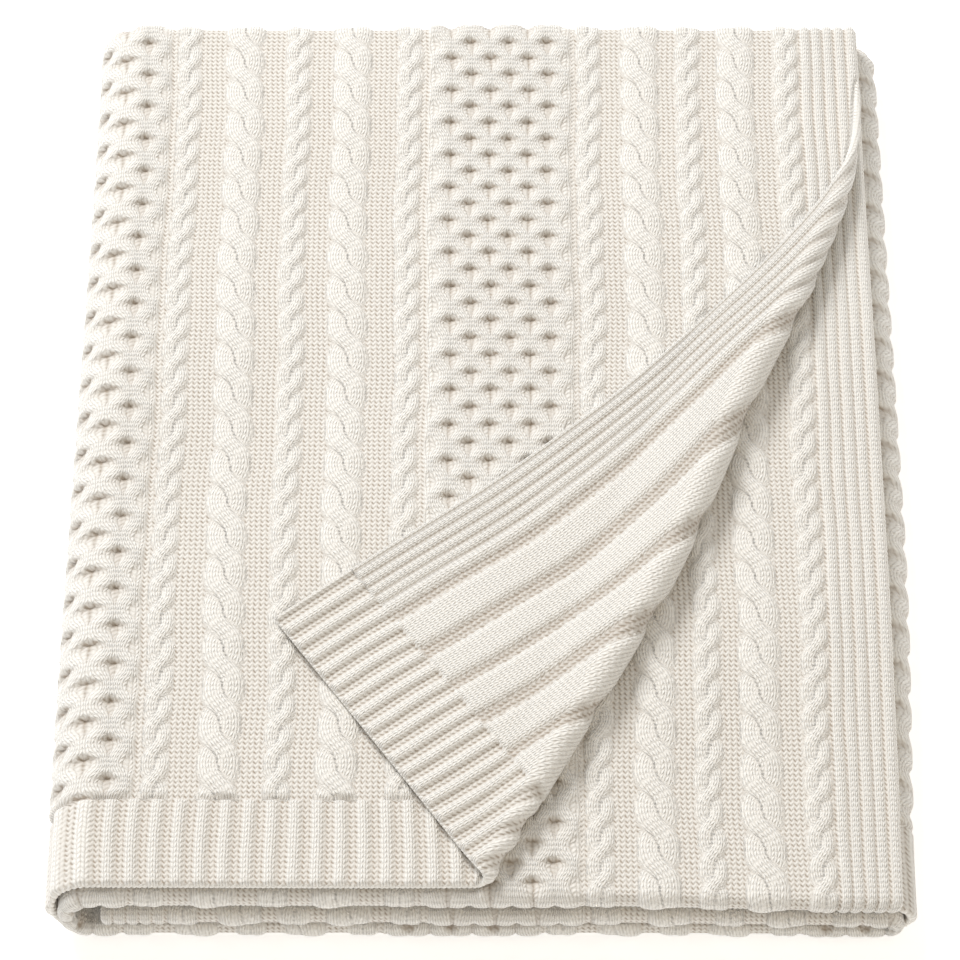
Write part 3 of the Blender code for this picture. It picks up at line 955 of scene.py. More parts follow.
@dataclass(frozen=True)
class Relief:
    """Where the knitting stands up, and where the layers press it flat."""

    under_margin: float = 0.008
    under_keep: float = 0.45
    second_start: float = 0.004
    roll_start: float = 0.5
    roll_run: float = 0.9
    face_run: float = 0.8
    bend_share: float = 0.8
    side_power: float = 0.6
    pressed: tuple[float, float] = (0.6, 0.4)

    def share(self, side: Side, u: Array, v: Array) -> Array:
        """Finds how much of its height the knitting has.

        Args:
            side: The side of the cloth.
            u: Places across the cloth.
            v: Places along the cloth.

        Returns:
            A share from 0, pressed flat, to 1.
        """
        x, y = STACK_FOLD.edge_x - u, PACK_FOLD.hem_y + v
        top = (u <= LEFT_END) & (v <= BACK_END)
        turned = CORNER.turned_angle(x, y)
        if side is Side.BACK:
            return np.where(top & (u < TOP_END), rise(turned, self.roll_start, self.roll_run), 0.0)
        covered = smooth(CORNER.covered(x, y) / self.under_margin)
        bare = 1 - (1 - self.under_keep) * covered
        bare = bare * (1 - smooth(turned / self.face_run))
        share = np.where(top, bare, 0.0)
        right = (u > BASE_END) & (u < RIGHT_END) & (v <= BACK_END)
        turn = np.clip((u - BASE_END) / (RIGHT_END - BASE_END), 0, 1)
        share = np.where(right, np.sin(math.pi * turn) ** self.side_power, share)
        left = (u > TOP_END) & (u < LEFT_END) & (v <= BACK_END)
        share = np.where(left, 1 - rise((u - TOP_END) / (LEFT_END - TOP_END), *self.pressed), share)
        round_back = (v > LAYER_ONE_END) & (v < BACK_END)
        turn = np.clip((v - LAYER_ONE_END) / (BACK_END - LAYER_ONE_END), 0, 1)
        share = np.where(round_back & (u <= LEFT_END), share * (1 - smooth(turn * 1.6 - 0.6)), share)
        share = np.where(round_back & (u > LEFT_END), np.sin(math.pi * turn) * self.bend_share, share)
        nose = np.clip((v - LAYER_TWO_END) / (NOSE_END - LAYER_TWO_END), 0, 1)
        round_nose = (v > LAYER_TWO_END) & (v < NOSE_END)
        share = np.where(round_nose, np.sin(math.pi * nose) * self.bend_share, share)
        below_y = PACK_FOLD.nose_y + v - NOSE_END
        second = (v >= NOSE_END) & (u < TOP_END)
        shown = smooth(CORNER.past(x, below_y) / self.second_start)
        share = np.where(second, shown, share)
        nose_shown = round_nose & (u < TOP_END) & (nose > 0.5)
        front = smooth(CORNER.past(x, np.full_like(x, PACK_FOLD.nose_y)) / self.second_start)
        return np.where(nose_shown, np.maximum(share, front), share)


RELIEF = Relief()


SEAM_LIP = 0.00002
EDGE_SHARES = (0.0, 0.10, 0.34, 0.70)


def spaced(start: float, end: float, step: float, block: int = 1) -> Array:
    """Spaces lines evenly, closer together at the cloth's own edges, with a hair's breadth at its seams.

    Args:
        start: The first line.
        end: The last line.
        step: The wanted distance between lines.
        block: The number of gaps is a multiple of this.

    Returns:
        The places of the lines.
    """
    count = block * max(1, math.ceil((end - start) / step / block))
    edge, seam = (np.array(EDGE_SHARES) * CLOTH.edge_round, CLOTH.edge_round), (np.zeros(1), SEAM_LIP)
    if count < 4 * len(edge[0]):
        return np.linspace(start, end, count + 1)
    head, first = edge if start == 0 else seam
    tail, last = edge if end in (CLOTH.length, CLOTH.width) else seam
    rest = np.linspace(start + first, end - last, count + 1 - len(head) - len(tail))
    return np.concatenate((start + head, rest, (end - tail)[::-1]))


def joined(*parts: Array) -> Array:
    """Returns lines put end to end, without the doubles where they meet."""
    return np.unique(np.round(np.concatenate(parts), 9))


@dataclass
class Patch:
    """One patch of the cloth, as a closed thin sheet with its own lines across and along."""

    name: str
    lines_u: Array
    lines_v: Array
    block: int = 1
    blur: int = 3
    # How much of the hollows' painted shade goes into the colour.
    painted_shade_share: float = 0.40
    cavity_depth: float = 0.0011
    past_margin: float = 0.012
    hidden_margin: float = 0.014

    def seen_blocks(self, side: Side) -> Array:
        """Finds which blocks of the grid show.

        Args:
            side: The side of the cloth.

        Returns:
            One truth value for each block.
        """
        across, along = (len(self.lines_u) - 1) // self.block, (len(self.lines_v) - 1) // self.block
        if self.block == 1:
            return np.ones((across, along), bool)
        u, v = np.meshgrid(self.lines_u[:: self.block], self.lines_v[:: self.block], indexing="ij")
        x, y = STACK_FOLD.edge_x - u, PACK_FOLD.hem_y + v
        if v.min() > BACK_END:
            below = CORNER.past(x, PACK_FOLD.nose_y + v - NOSE_END) > -self.past_margin
            seen = below if side is Side.FACE else np.zeros_like(below)
        elif side is Side.FACE:
            seen = (CORNER.past(x, y) < self.hidden_margin) & (CORNER.covered(x, y) < self.hidden_margin)
        else:
            seen = (CORNER.past(x, y) > 0.0) & (u < TOP_END)
        return seen[:-1, :-1] | seen[1:, :-1] | seen[:-1, 1:] | seen[1:, 1:]

    def faces(self, seen: Array, flip: bool) -> tuple[Array, Array]:
        """Makes one side's faces: squares in the blocks that show, and fans in the others.

        Args:
            seen: Which blocks show.
            flip: Whether the faces turn the other way.

        Returns:
            The squares and the triangles, as numbers of grid points.
        """
        block, tall = self.block, len(self.lines_v)
        fine = np.kron(seen, np.ones((block, block), bool))
        i, j = np.nonzero(fine)
        first = i * tall + j
        squares = np.stack((first, first + 1, first + tall + 1, first + tall), axis=1)
        triangles = []
        ways = ((0, -1), (1, 0), (0, 1), (-1, 0))
        for a, b in zip(*np.nonzero(~seen)):
            ring: list[int] = []
            for number, (da, db) in enumerate(ways):
                other = (a + da, b + db)
                edge = not (0 <= other[0] < seen.shape[0] and 0 <= other[1] < seen.shape[1]) or seen[other]
                step = 1 if edge else block
                for k in range(0, block, step):
                    spot = ((k, 0), (block, k), (block - k, block), (0, block - k))[number]
                    ring.append((a * block + spot[0]) * tall + b * block + spot[1])
            middle = (a * block + block // 2) * tall + b * block + block // 2
            triangles += [(middle, ring[k], ring[k - 1]) for k in range(len(ring))]
        fans = np.array(triangles, int).reshape(-1, 3)
        return (squares[:, ::-1], fans[:, ::-1]) if flip else (squares, fans)

    def rim(self, count: int) -> Array:
        """Joins the two sides at the patch's edges.

        Args:
            count: How many points each side has.

        Returns:
            The squares of the rim.
        """
        wide, tall = len(self.lines_u), len(self.lines_v)
        rows = []
        for j, turn in ((0, False), (tall - 1, True)):
            face = np.arange(wide) * tall + j
            strip = np.stack((face[:-1], face[1:], face[1:] + count, face[:-1] + count), axis=1)
            rows.append(strip[:, ::-1] if turn else strip)
        for i, turn in ((0, False), (wide - 1, True)):
            face = i * tall + np.arange(tall)
            strip = np.stack((face[:-1], face[:-1] + count, face[1:] + count, face[1:]), axis=1)
            rows.append(strip[:, ::-1] if turn else strip)
        return np.concatenate(rows)

    def cavity(self, height: Array) -> Array:
        """Finds the hollows of the relief, where the colour gets painted shade.

        Args:
            height: The relief on the patch's grid.

        Returns:
            How deep each point lies among its neighbours, from 0 to 1.
        """
        spread = height
        for axis in (0, 1):
            widths = [(self.blur, self.blur) if a == axis else (0, 0) for a in (0, 1)]
            total = np.cumsum(np.pad(spread, widths, "edge"), axis=axis)
            total = np.insert(total, 0, 0.0, axis=axis)
            window = 2 * self.blur + 1
            high = np.take(total, np.arange(window, total.shape[axis]), axis=axis)
            low = np.take(total, np.arange(0, total.shape[axis] - window), axis=axis)
            spread = (high - low) / window
        return np.clip((spread - height) / self.cavity_depth, 0.0, 1.0)

    def build(self, material: bpy.types.Material) -> bpy.types.Object:
        """Makes the patch.

        Args:
            material: The finish of the cloth.

        Returns:
            The patch as an object at the origin.
        """
        u, v = np.meshgrid(self.lines_u, self.lines_v, indexing="ij")
        thick = CLOTH.half_thickness(u, v)
        points, stitches, masks = [], [], []
        for side in Side:
            knit = (CHART.face if side is Side.FACE else CHART.back)(u.ravel(), v.ravel())
            height = (knit.height * RELIEF.share(side, u.ravel(), v.ravel())).reshape(u.shape)
            height *= np.clip(thick / (CLOTH.thickness / 2), 0, 1)
            points.append(place(u.ravel(), v.ravel(), side.value * (thick + height).ravel()))
            stitches.append(np.stack((knit.column, knit.row, np.zeros_like(knit.row)), axis=1))
            # Painted shade: the hollows of the relief and the pattern's own painted shade darken the colour.
            deep = np.maximum(self.cavity(height).ravel() * self.painted_shade_share, knit.shade)
            masks.append(np.stack((knit.plain, deep, knit.clear), axis=1))
        count = u.size
        face = self.faces(self.seen_blocks(Side.FACE), False)
        back = self.faces(self.seen_blocks(Side.BACK), True)
        squares = np.concatenate((face[0], back[0] + count, self.rim(count)))
        triangles = np.concatenate((face[1], back[1] + count))
        places, values = np.concatenate(points), (np.concatenate(stitches), np.concatenate(masks))
        return self.object_of(places, values, squares, triangles, material)

    def object_of(
        self,
        places: Array,
        values: tuple[Array, Array],
        squares: Array,
        triangles: Array,
        material: bpy.types.Material,
    ) -> bpy.types.Object:
        """Puts points and faces into an object, without the points that no face uses.

        Args:
            places: The place of each point.
            values: The stitch grid and the masks of each point.
            squares: Faces of four points.
            triangles: Faces of three points.
            material: The finish.

        Returns:
            The object.
        """
        used, numbers = np.unique(np.concatenate((squares.ravel(), triangles.ravel())), return_inverse=True)
        mesh = bpy.data.meshes.new(self.name)
        mesh.vertices.add(len(used))
        mesh.vertices.foreach_set("co", places[used].astype(np.float32).ravel())
        mesh.loops.add(len(numbers))
        mesh.loops.foreach_set("vertex_index", numbers.astype(np.int32).ravel())
        sizes = np.concatenate((np.full(len(squares), 4), np.full(len(triangles), 3)))
        mesh.polygons.add(len(sizes))
        starts = np.concatenate(((0,), np.cumsum(sizes)[:-1]))
        mesh.polygons.foreach_set("loop_start", starts.astype(np.int32))
        mesh.update(calc_edges=True)
        for name, value in zip(("stitch", "knit"), values):
            attribute = mesh.attributes.new(name, "FLOAT_VECTOR", "POINT")
            attribute.data.foreach_set("vector", value[used].astype(np.float32).ravel())
        mesh.shade_smooth()
        mesh.materials.append(material)
        mesh.validate()
        built = bpy.data.objects.new(self.name, mesh)
        bpy.context.scene.collection.objects.link(built)
        return built


class NodeMaker:
    """Adds nodes to a tree and joins them."""

    def __init__(self, tree: bpy.types.NodeTree) -> None:
        """Keeps the tree that the nodes go into."""
        self.tree = tree

    def add(self, kind: str, **settings: object) -> bpy.types.Node:
        """Adds a node.

        Args:
            kind: The node's type.
            **settings: Its properties by name.

        Returns:
            The node.
        """
        node = self.tree.nodes.new(kind)
        for name, value in settings.items():
            setattr(node, name, value)
        return node

    def join(self, value: Value, socket: Socket) -> None:
        """Joins a value to an input.

        Args:
            value: A socket, or a number to set.
            socket: The input.
        """
        if isinstance(value, bpy.types.NodeSocket):
            self.tree.links.new(value, socket)
        else:
            socket.default_value = value

    def math(self, operation: str, *values: Value) -> Socket:
        """Adds a math node.

        Args:
            operation: What it does.
            *values: Its inputs in order.

        Returns:
            Its result.
        """
        node = self.add("ShaderNodeMath", operation=operation)
        for number, value in enumerate(values):
            self.join(value, node.inputs[number])
        return node.outputs[0]

    def turns(self, operation: str, value: Socket) -> Socket:
        """Returns the sine or cosine of a value counted in whole turns."""
        return self.math(operation, self.math("MULTIPLY", value, math.tau))

    def swell(self, value: Socket) -> Socket:
        """Returns a wave between 0 and 1 that peaks at each whole number."""
        return self.math("MULTIPLY_ADD", self.turns("COSINE", value), 0.5, 0.5)

    def mix(self, share: Value, low: Value, high: Value) -> Socket:
        """Mixes two numbers.

        Args:
            share: How much of the second there is.
            low: The first number.
            high: The second number.

        Returns:
            The number between them.
        """
        node = self.add("ShaderNodeMix", data_type="FLOAT")
        for socket, value in zip(node.inputs[:1] + node.inputs[2:4], (share, low, high)):
            self.join(value, socket)
        return node.outputs[0]

    def tint(self, share: Value, low: Value, high: Value) -> Socket:
        """Mixes two colours.

        Args:
            share: How much of the second there is.
            low: The first colour.
            high: The second colour.

        Returns:
            The colour between them.
        """
        node = self.add("ShaderNodeMix", data_type="RGBA")
        for socket, value in zip((node.inputs[0], node.inputs[6], node.inputs[7]), (share, low, high)):
            self.join(value, socket)
        return node.outputs[2]

    def noise(self, vector: Socket, scale: float, detail: float) -> Socket:
        """Adds a noise texture.

        Args:
            vector: Where it is read.
            scale: Its scale.
            detail: Its detail.

        Returns:
            Its value, around 0.5.
        """
        node = self.add("ShaderNodeTexNoise")
        self.join(vector, node.inputs["Vector"])
        node.inputs["Scale"].default_value = scale
        node.inputs["Detail"].default_value = detail
        return node.outputs["Fac"]


class ShaderGroup:
    """A shader node group with named inputs and outputs."""

    def __init__(self, name: str, inputs: dict[str, str], outputs: dict[str, str]) -> None:
        """Makes the group and its sockets.

        Args:
            name: The group's name.
            inputs: The kind of each input socket by name.
            outputs: The kind of each output socket by name.
        """
        self.tree = bpy.data.node_groups.new(name, "ShaderNodeTree")
        for way, sockets in (("INPUT", inputs), ("OUTPUT", outputs)):
            for title, kind in sockets.items():
                self.tree.interface.new_socket(title, in_out=way, socket_type=kind)
        self.make = NodeMaker(self.tree)
        self.given = self.make.add("NodeGroupInput").outputs
        self.result = self.make.add("NodeGroupOutput").inputs


NUMBER, VECTOR, COLOUR = "NodeSocketFloat", "NodeSocketVector", "NodeSocketColor"


@dataclass(frozen=True)
class StitchShape:
    """The stitches: nested V shapes where the knitting is plain, and wavy bumps where it is purl."""

    uneven_scale: float = 0.55
    wander: float = 0.34
    leg_power: float = 0.85
    leg_lean: float = 0.62
    loop_share: float = 0.75
    loop_floor: float = 0.25
    sway: float = 0.20
    purl_power: float = 0.85
    heap_share: float = 0.30
    heap_floor: float = 0.70
    purl_rise: float = 0.75
    purl_floor: float = 0.10
    unclear_height: float = 0.50
    unclear_gap: float = 0.20
    hollow_power: float = 2.3
    speck_share: float = 0.75
    speck_floor: float = 0.90
    patch_scale: float = 1.3
    patch_gain: float = 2.4
    patch_floor: float = -0.2

    def group(self) -> bpy.types.NodeTree:
        """Makes the node group of the stitches.

        Returns:
            The group, which gives the yarn's height and the painted shade in the gaps between its loops.
        """
        inputs = {"Stitch": VECTOR, "Plain": NUMBER, "Clear": NUMBER}
        group = ShaderGroup("Stitches", inputs, {"Height": NUMBER, "Gap shade": NUMBER})
        make, given = group.make, group.given
        split = make.add("ShaderNodeSeparateXYZ")
        make.join(given["Stitch"], split.inputs[0])
        uneven = make.noise(given["Stitch"], self.uneven_scale, 2.0)
        wander = make.math("MULTIPLY", make.math("SUBTRACT", uneven, 0.5), self.wander)
        column = make.math("ADD", split.outputs[0], wander)
        row = make.math("SUBTRACT", split.outputs[1], wander)
        plain, dots = self.plain(make, column, row)
        purl, hollow = self.purl(make, column, row)
        purl = make.math("MULTIPLY_ADD", purl, self.purl_rise, self.purl_floor)
        height = make.mix(given["Plain"], purl, plain)
        make.join(make.mix(given["Clear"], self.unclear_height, height), group.result["Height"])
        # Painted shade in the gaps between the loops, made patchy by noise.
        gap = make.mix(given["Clear"], self.unclear_gap, make.mix(given["Plain"], hollow, dots))
        patchy = make.noise(given["Stitch"], self.patch_scale, 3.0)
        patchy = make.math("MULTIPLY_ADD", patchy, self.patch_gain, self.patch_floor)
        make.join(make.math("MULTIPLY", gap, patchy), group.result["Gap shade"])
        return group.tree

    def plain(self, make: NodeMaker, column: Socket, row: Socket) -> tuple[Socket, Socket]:
        """Shapes the plain stitches, whose two legs make a V.

        Args:
            make: Adds the nodes.
            column: The stitch column.
            row: The row.

        Returns:
            The stitches' height and the painted shade of the dots between them.
        """
        saw = make.math("MULTIPLY", make.math("FRACT", column), 2.0)
        off = make.math("ABSOLUTE", make.math("SUBTRACT", saw, 1.0))
        bow = make.math("SUBTRACT", make.math("MULTIPLY", off, 2.0), 1.0)
        arch = make.math("SUBTRACT", 1.0, make.math("MULTIPLY", bow, bow))
        leg = make.math("POWER", arch, self.leg_power)
        loop = make.swell(make.math("SUBTRACT", row, make.math("MULTIPLY", off, self.leg_lean)))
        height = make.math("MULTIPLY", leg, make.math("MULTIPLY_ADD", loop, self.loop_share, self.loop_floor))
        low = make.math("SUBTRACT", 1.0, loop)
        dots = make.math("MULTIPLY_ADD", low, self.loop_share, self.loop_floor)
        return height, make.math("MULTIPLY", make.math("SUBTRACT", 1.0, leg), dots)

    def purl(self, make: NodeMaker, column: Socket, row: Socket) -> tuple[Socket, Socket]:
        """Shapes the purl stitches, whose bumps lie in wavy rows.

        Args:
            make: Adds the nodes.
            column: The stitch column.
            row: The row.

        Returns:
            The stitches' height and the painted shade of the hollows between them.
        """
        side = make.turns("COSINE", column)
        bump = make.swell(make.math("MULTIPLY_ADD", side, self.sway, row))
        heap = make.math("MULTIPLY_ADD", side, self.heap_share, self.heap_floor)
        height = make.math("MULTIPLY", make.math("POWER", bump, self.purl_power), heap)
        specks = make.math("MULTIPLY_ADD", make.turns("SINE", column), self.speck_share, self.speck_floor)
        hollow = make.math("POWER", make.math("SUBTRACT", 1.0, height), self.hollow_power)
        return height, make.math("MULTIPLY", hollow, specks)


@dataclass(frozen=True)
class Fibres:
    """The fine uneven fibres of the yarn and its slow change of shade."""

    fine_scale: float = 1500.0
    speck_scale: float = 520.0
    broad_scale: float = 14.0
    speck_height: float = 0.5
    speck_shade: float = 0.6
    broad_shade: float = 0.4

    def group(self) -> bpy.types.NodeTree:
        """Makes the node group of the fibres.

        Returns:
            The group, which gives the fibres' height and the shade.
        """
        group = ShaderGroup("Fibres", {"Place": VECTOR}, {"Height": NUMBER, "Shade": NUMBER})
        make = group.make
        fine = make.noise(group.given["Place"], self.fine_scale, 3.0)
        speck = make.noise(group.given["Place"], self.speck_scale, 2.0)
        broad = make.noise(group.given["Place"], self.broad_scale, 2.0)
        height = make.math("ADD", fine, make.math("MULTIPLY", speck, self.speck_height))
        make.join(height, group.result["Height"])
        near = make.math("MULTIPLY", speck, self.speck_shade)
        slow = make.math("MULTIPLY", broad, self.broad_shade)
        make.join(make.math("ADD", near, slow), group.result["Shade"])
        return group.tree


@dataclass(frozen=True)
class YarnFinish:
    """The finish of soft ivory yarn, with painted shade in the hollows and between the stitches."""

    name: str = "ivory_yarn"
    light: tuple[float, float, float, float] = (0.90, 0.892, 0.860, 1.0)
    dark: tuple[float, float, float, float] = (0.83, 0.802, 0.754, 1.0)
    painted_shade_colour: tuple[float, float, float, float] = (0.40, 0.34, 0.28, 1.0)
    gap_shade_share: float = 0.56
    painted_shade_share: float = 0.80
    roughness: float = 0.95
    specular: float = 0.2
    sheen: float = 0.25
    sheen_roughness: float = 0.5
    stitch_depth: float = 0.00050
    fibre_depth: float = 0.00022
    knitted: bool = True

    def material(self, stitches: bpy.types.NodeTree, fibres: bpy.types.NodeTree) -> bpy.types.Material:
        """Makes the material.

        Args:
            stitches: The group of the stitches.
            fibres: The group of the fibres.

        Returns:
            The material.
        """
        material = bpy.data.materials.new(self.name)
        material.use_nodes = True
        make = NodeMaker(material.node_tree)
        shader = material.node_tree.nodes["Principled BSDF"]
        fibre = make.add("ShaderNodeGroup", node_tree=fibres)
        make.join(make.add("ShaderNodeTexCoord").outputs["Object"], fibre.inputs["Place"])
        colour = make.tint(fibre.outputs["Shade"], self.light, self.dark)
        height: Socket = make.math("MULTIPLY", fibre.outputs["Height"], self.fibre_depth)
        if self.knitted:
            stitch = make.add("ShaderNodeGroup", node_tree=stitches)
            grid = make.add("ShaderNodeAttribute", attribute_name="stitch")
            masks = make.add("ShaderNodeAttribute", attribute_name="knit")
            make.join(grid.outputs["Vector"], stitch.inputs["Stitch"])
            split = make.add("ShaderNodeSeparateXYZ")
            make.join(masks.outputs["Vector"], split.inputs[0])
            make.join(split.outputs[0], stitch.inputs["Plain"])
            make.join(split.outputs[2], stitch.inputs["Clear"])
            # Painted shade: the hollows and the gaps between stitches tint the colour toward the shade
            # colour.
            deep = make.math("MULTIPLY", split.outputs[1], self.painted_shade_share)
            gaps = make.math("MULTIPLY", stitch.outputs["Gap shade"], self.gap_shade_share)
            shade = make.math("MINIMUM", make.math("ADD", deep, gaps), 1.0)
            colour = make.tint(shade, colour, self.painted_shade_colour)
            height = make.math("MULTIPLY_ADD", stitch.outputs["Height"], self.stitch_depth, height)
        make.join(colour, shader.inputs["Base Color"])
        bump = make.add("ShaderNodeBump")
        bump.inputs["Strength"].default_value = 1.0
        bump.inputs["Distance"].default_value = 1.0
        make.join(height, bump.inputs["Height"])
        make.join(bump.outputs["Normal"], shader.inputs["Normal"])
        shader.inputs["Roughness"].default_value = self.roughness
        shader.inputs["Specular IOR Level"].default_value = self.specular
        shader.inputs["Sheen Weight"].default_value = self.sheen
        shader.inputs["Sheen Roughness"].default_value = self.sheen_roughness
        return material


@dataclass
class Blanket:
    """The folded blanket, in patches whose edges meet."""

    fine_u: float = 0.00115
    fine_v: float = 0.00120
    second_u: float = 0.0012
    side_u: float = 0.0013
    side_v: float = 0.0015
    nose_v: float = 0.0008
    under_u: float = 0.0024
    hidden_u: float = 0.0030
    bend: float = 0.0018
    coarse: float = 0.012
    hidden_lines: int = 45
    block: int = 8
    front_depth: float = 0.012
    edge_depth: float = 0.004
    seams: tuple[float, ...] = (0.0, 0.1415, 0.2706, 0.3685)
    past_bend: float = 0.008
    second_layer_edge: float = 0.215

    def graded(self, start: float, end: float, marks: Sequence[tuple[float, float]], step: float) -> Array:
        """Spaces lines finely in some stretches.

        Args:
            start: The first line.
            end: The last line.
            marks: The stretches with fine lines.
            step: The distance between lines there.

        Returns:
            The places of the lines.
        """
        parts = []
        at = start
        for low, high in marks:
            low, high = max(low, start), min(high, end)
            if high <= low:
                continue
            if low > at + 1e-9:
                parts.append(np.linspace(at, low, max(2, math.ceil((low - at) / self.coarse) + 1)))
            parts.append(spaced(low, high, step))
            at = high
        if end > at + 1e-9:
            parts.append(np.linspace(at, end, max(2, math.ceil((end - at) / self.coarse) + 1)))
        return joined(*parts)

    def patches(self) -> list[Patch]:
        """Divides the cloth into patches, fine where it shows.

        Returns:
            The patches.
        """
        layer_one = BACK_END + self.past_bend
        nose_start = LAYER_TWO_END - self.past_bend
        left, right = LEFT_END + self.past_bend, RIGHT_END + self.past_bend
        base = BASE_END - self.past_bend
        top_v = spaced(0.0, layer_one, self.fine_v, self.block)
        nose_end = NOSE_END + self.past_bend
        front_back = ((0.0, self.front_depth), (LAYER_ONE_END - self.past_bend, layer_one))
        hem_v = self.graded(0.0, layer_one, front_back, self.bend)
        bends = ((0.0, self.edge_depth), (TOP_END, LEFT_END), (BASE_END, RIGHT_END))
        bends = (*bends, (CLOTH.width - self.edge_depth, CLOTH.width))
        hidden_u = self.graded(0.0, CLOTH.width, bends, self.hidden_u)
        inner_u = self.graded(self.second_layer_edge, CLOTH.width, bends[1:], self.hidden_u)
        second_u = spaced(0.0, self.second_layer_edge, self.second_u, self.block)
        second_v = spaced(nose_start, CLOTH.length, self.fine_v, self.block)
        names = ("top_edge", "top_right", "top_left", "left_side")
        fine = [
            Patch(name, spaced(low, high, self.fine_u, self.block), top_v, self.block)
            for name, low, high in zip(names, self.seams, (*self.seams[1:], left))
        ]
        return fine + [
            Patch("base_layer", spaced(left, base, self.under_u), hem_v),
            Patch("right_side", spaced(base, right, self.side_u), spaced(0.0, layer_one, self.side_v)),
            Patch("middle_layer", spaced(right, CLOTH.width, self.under_u), hem_v),
            Patch("lower_layers", hidden_u, np.linspace(layer_one, nose_start, self.hidden_lines)),
            Patch("second_layer", second_u, second_v, self.block),
            Patch(
                "front_noses",
                spaced(self.second_layer_edge, CLOTH.width, self.side_u),
                spaced(nose_start, nose_end, self.nose_v),
            ),
            Patch("inner_layers", inner_u, self.graded(nose_end, CLOTH.length, (), self.bend)),
        ]

    def build(self, material: bpy.types.Material) -> list[bpy.types.Object]:
        """Args:
            material: The finish of the cloth.

        Returns:
            The patches as objects.
        """
        made = []
        for patch in self.patches():
            piece = patch.build(material)
            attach(piece, BODY)
            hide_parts(NODE)
            made.append(piece)
        return made


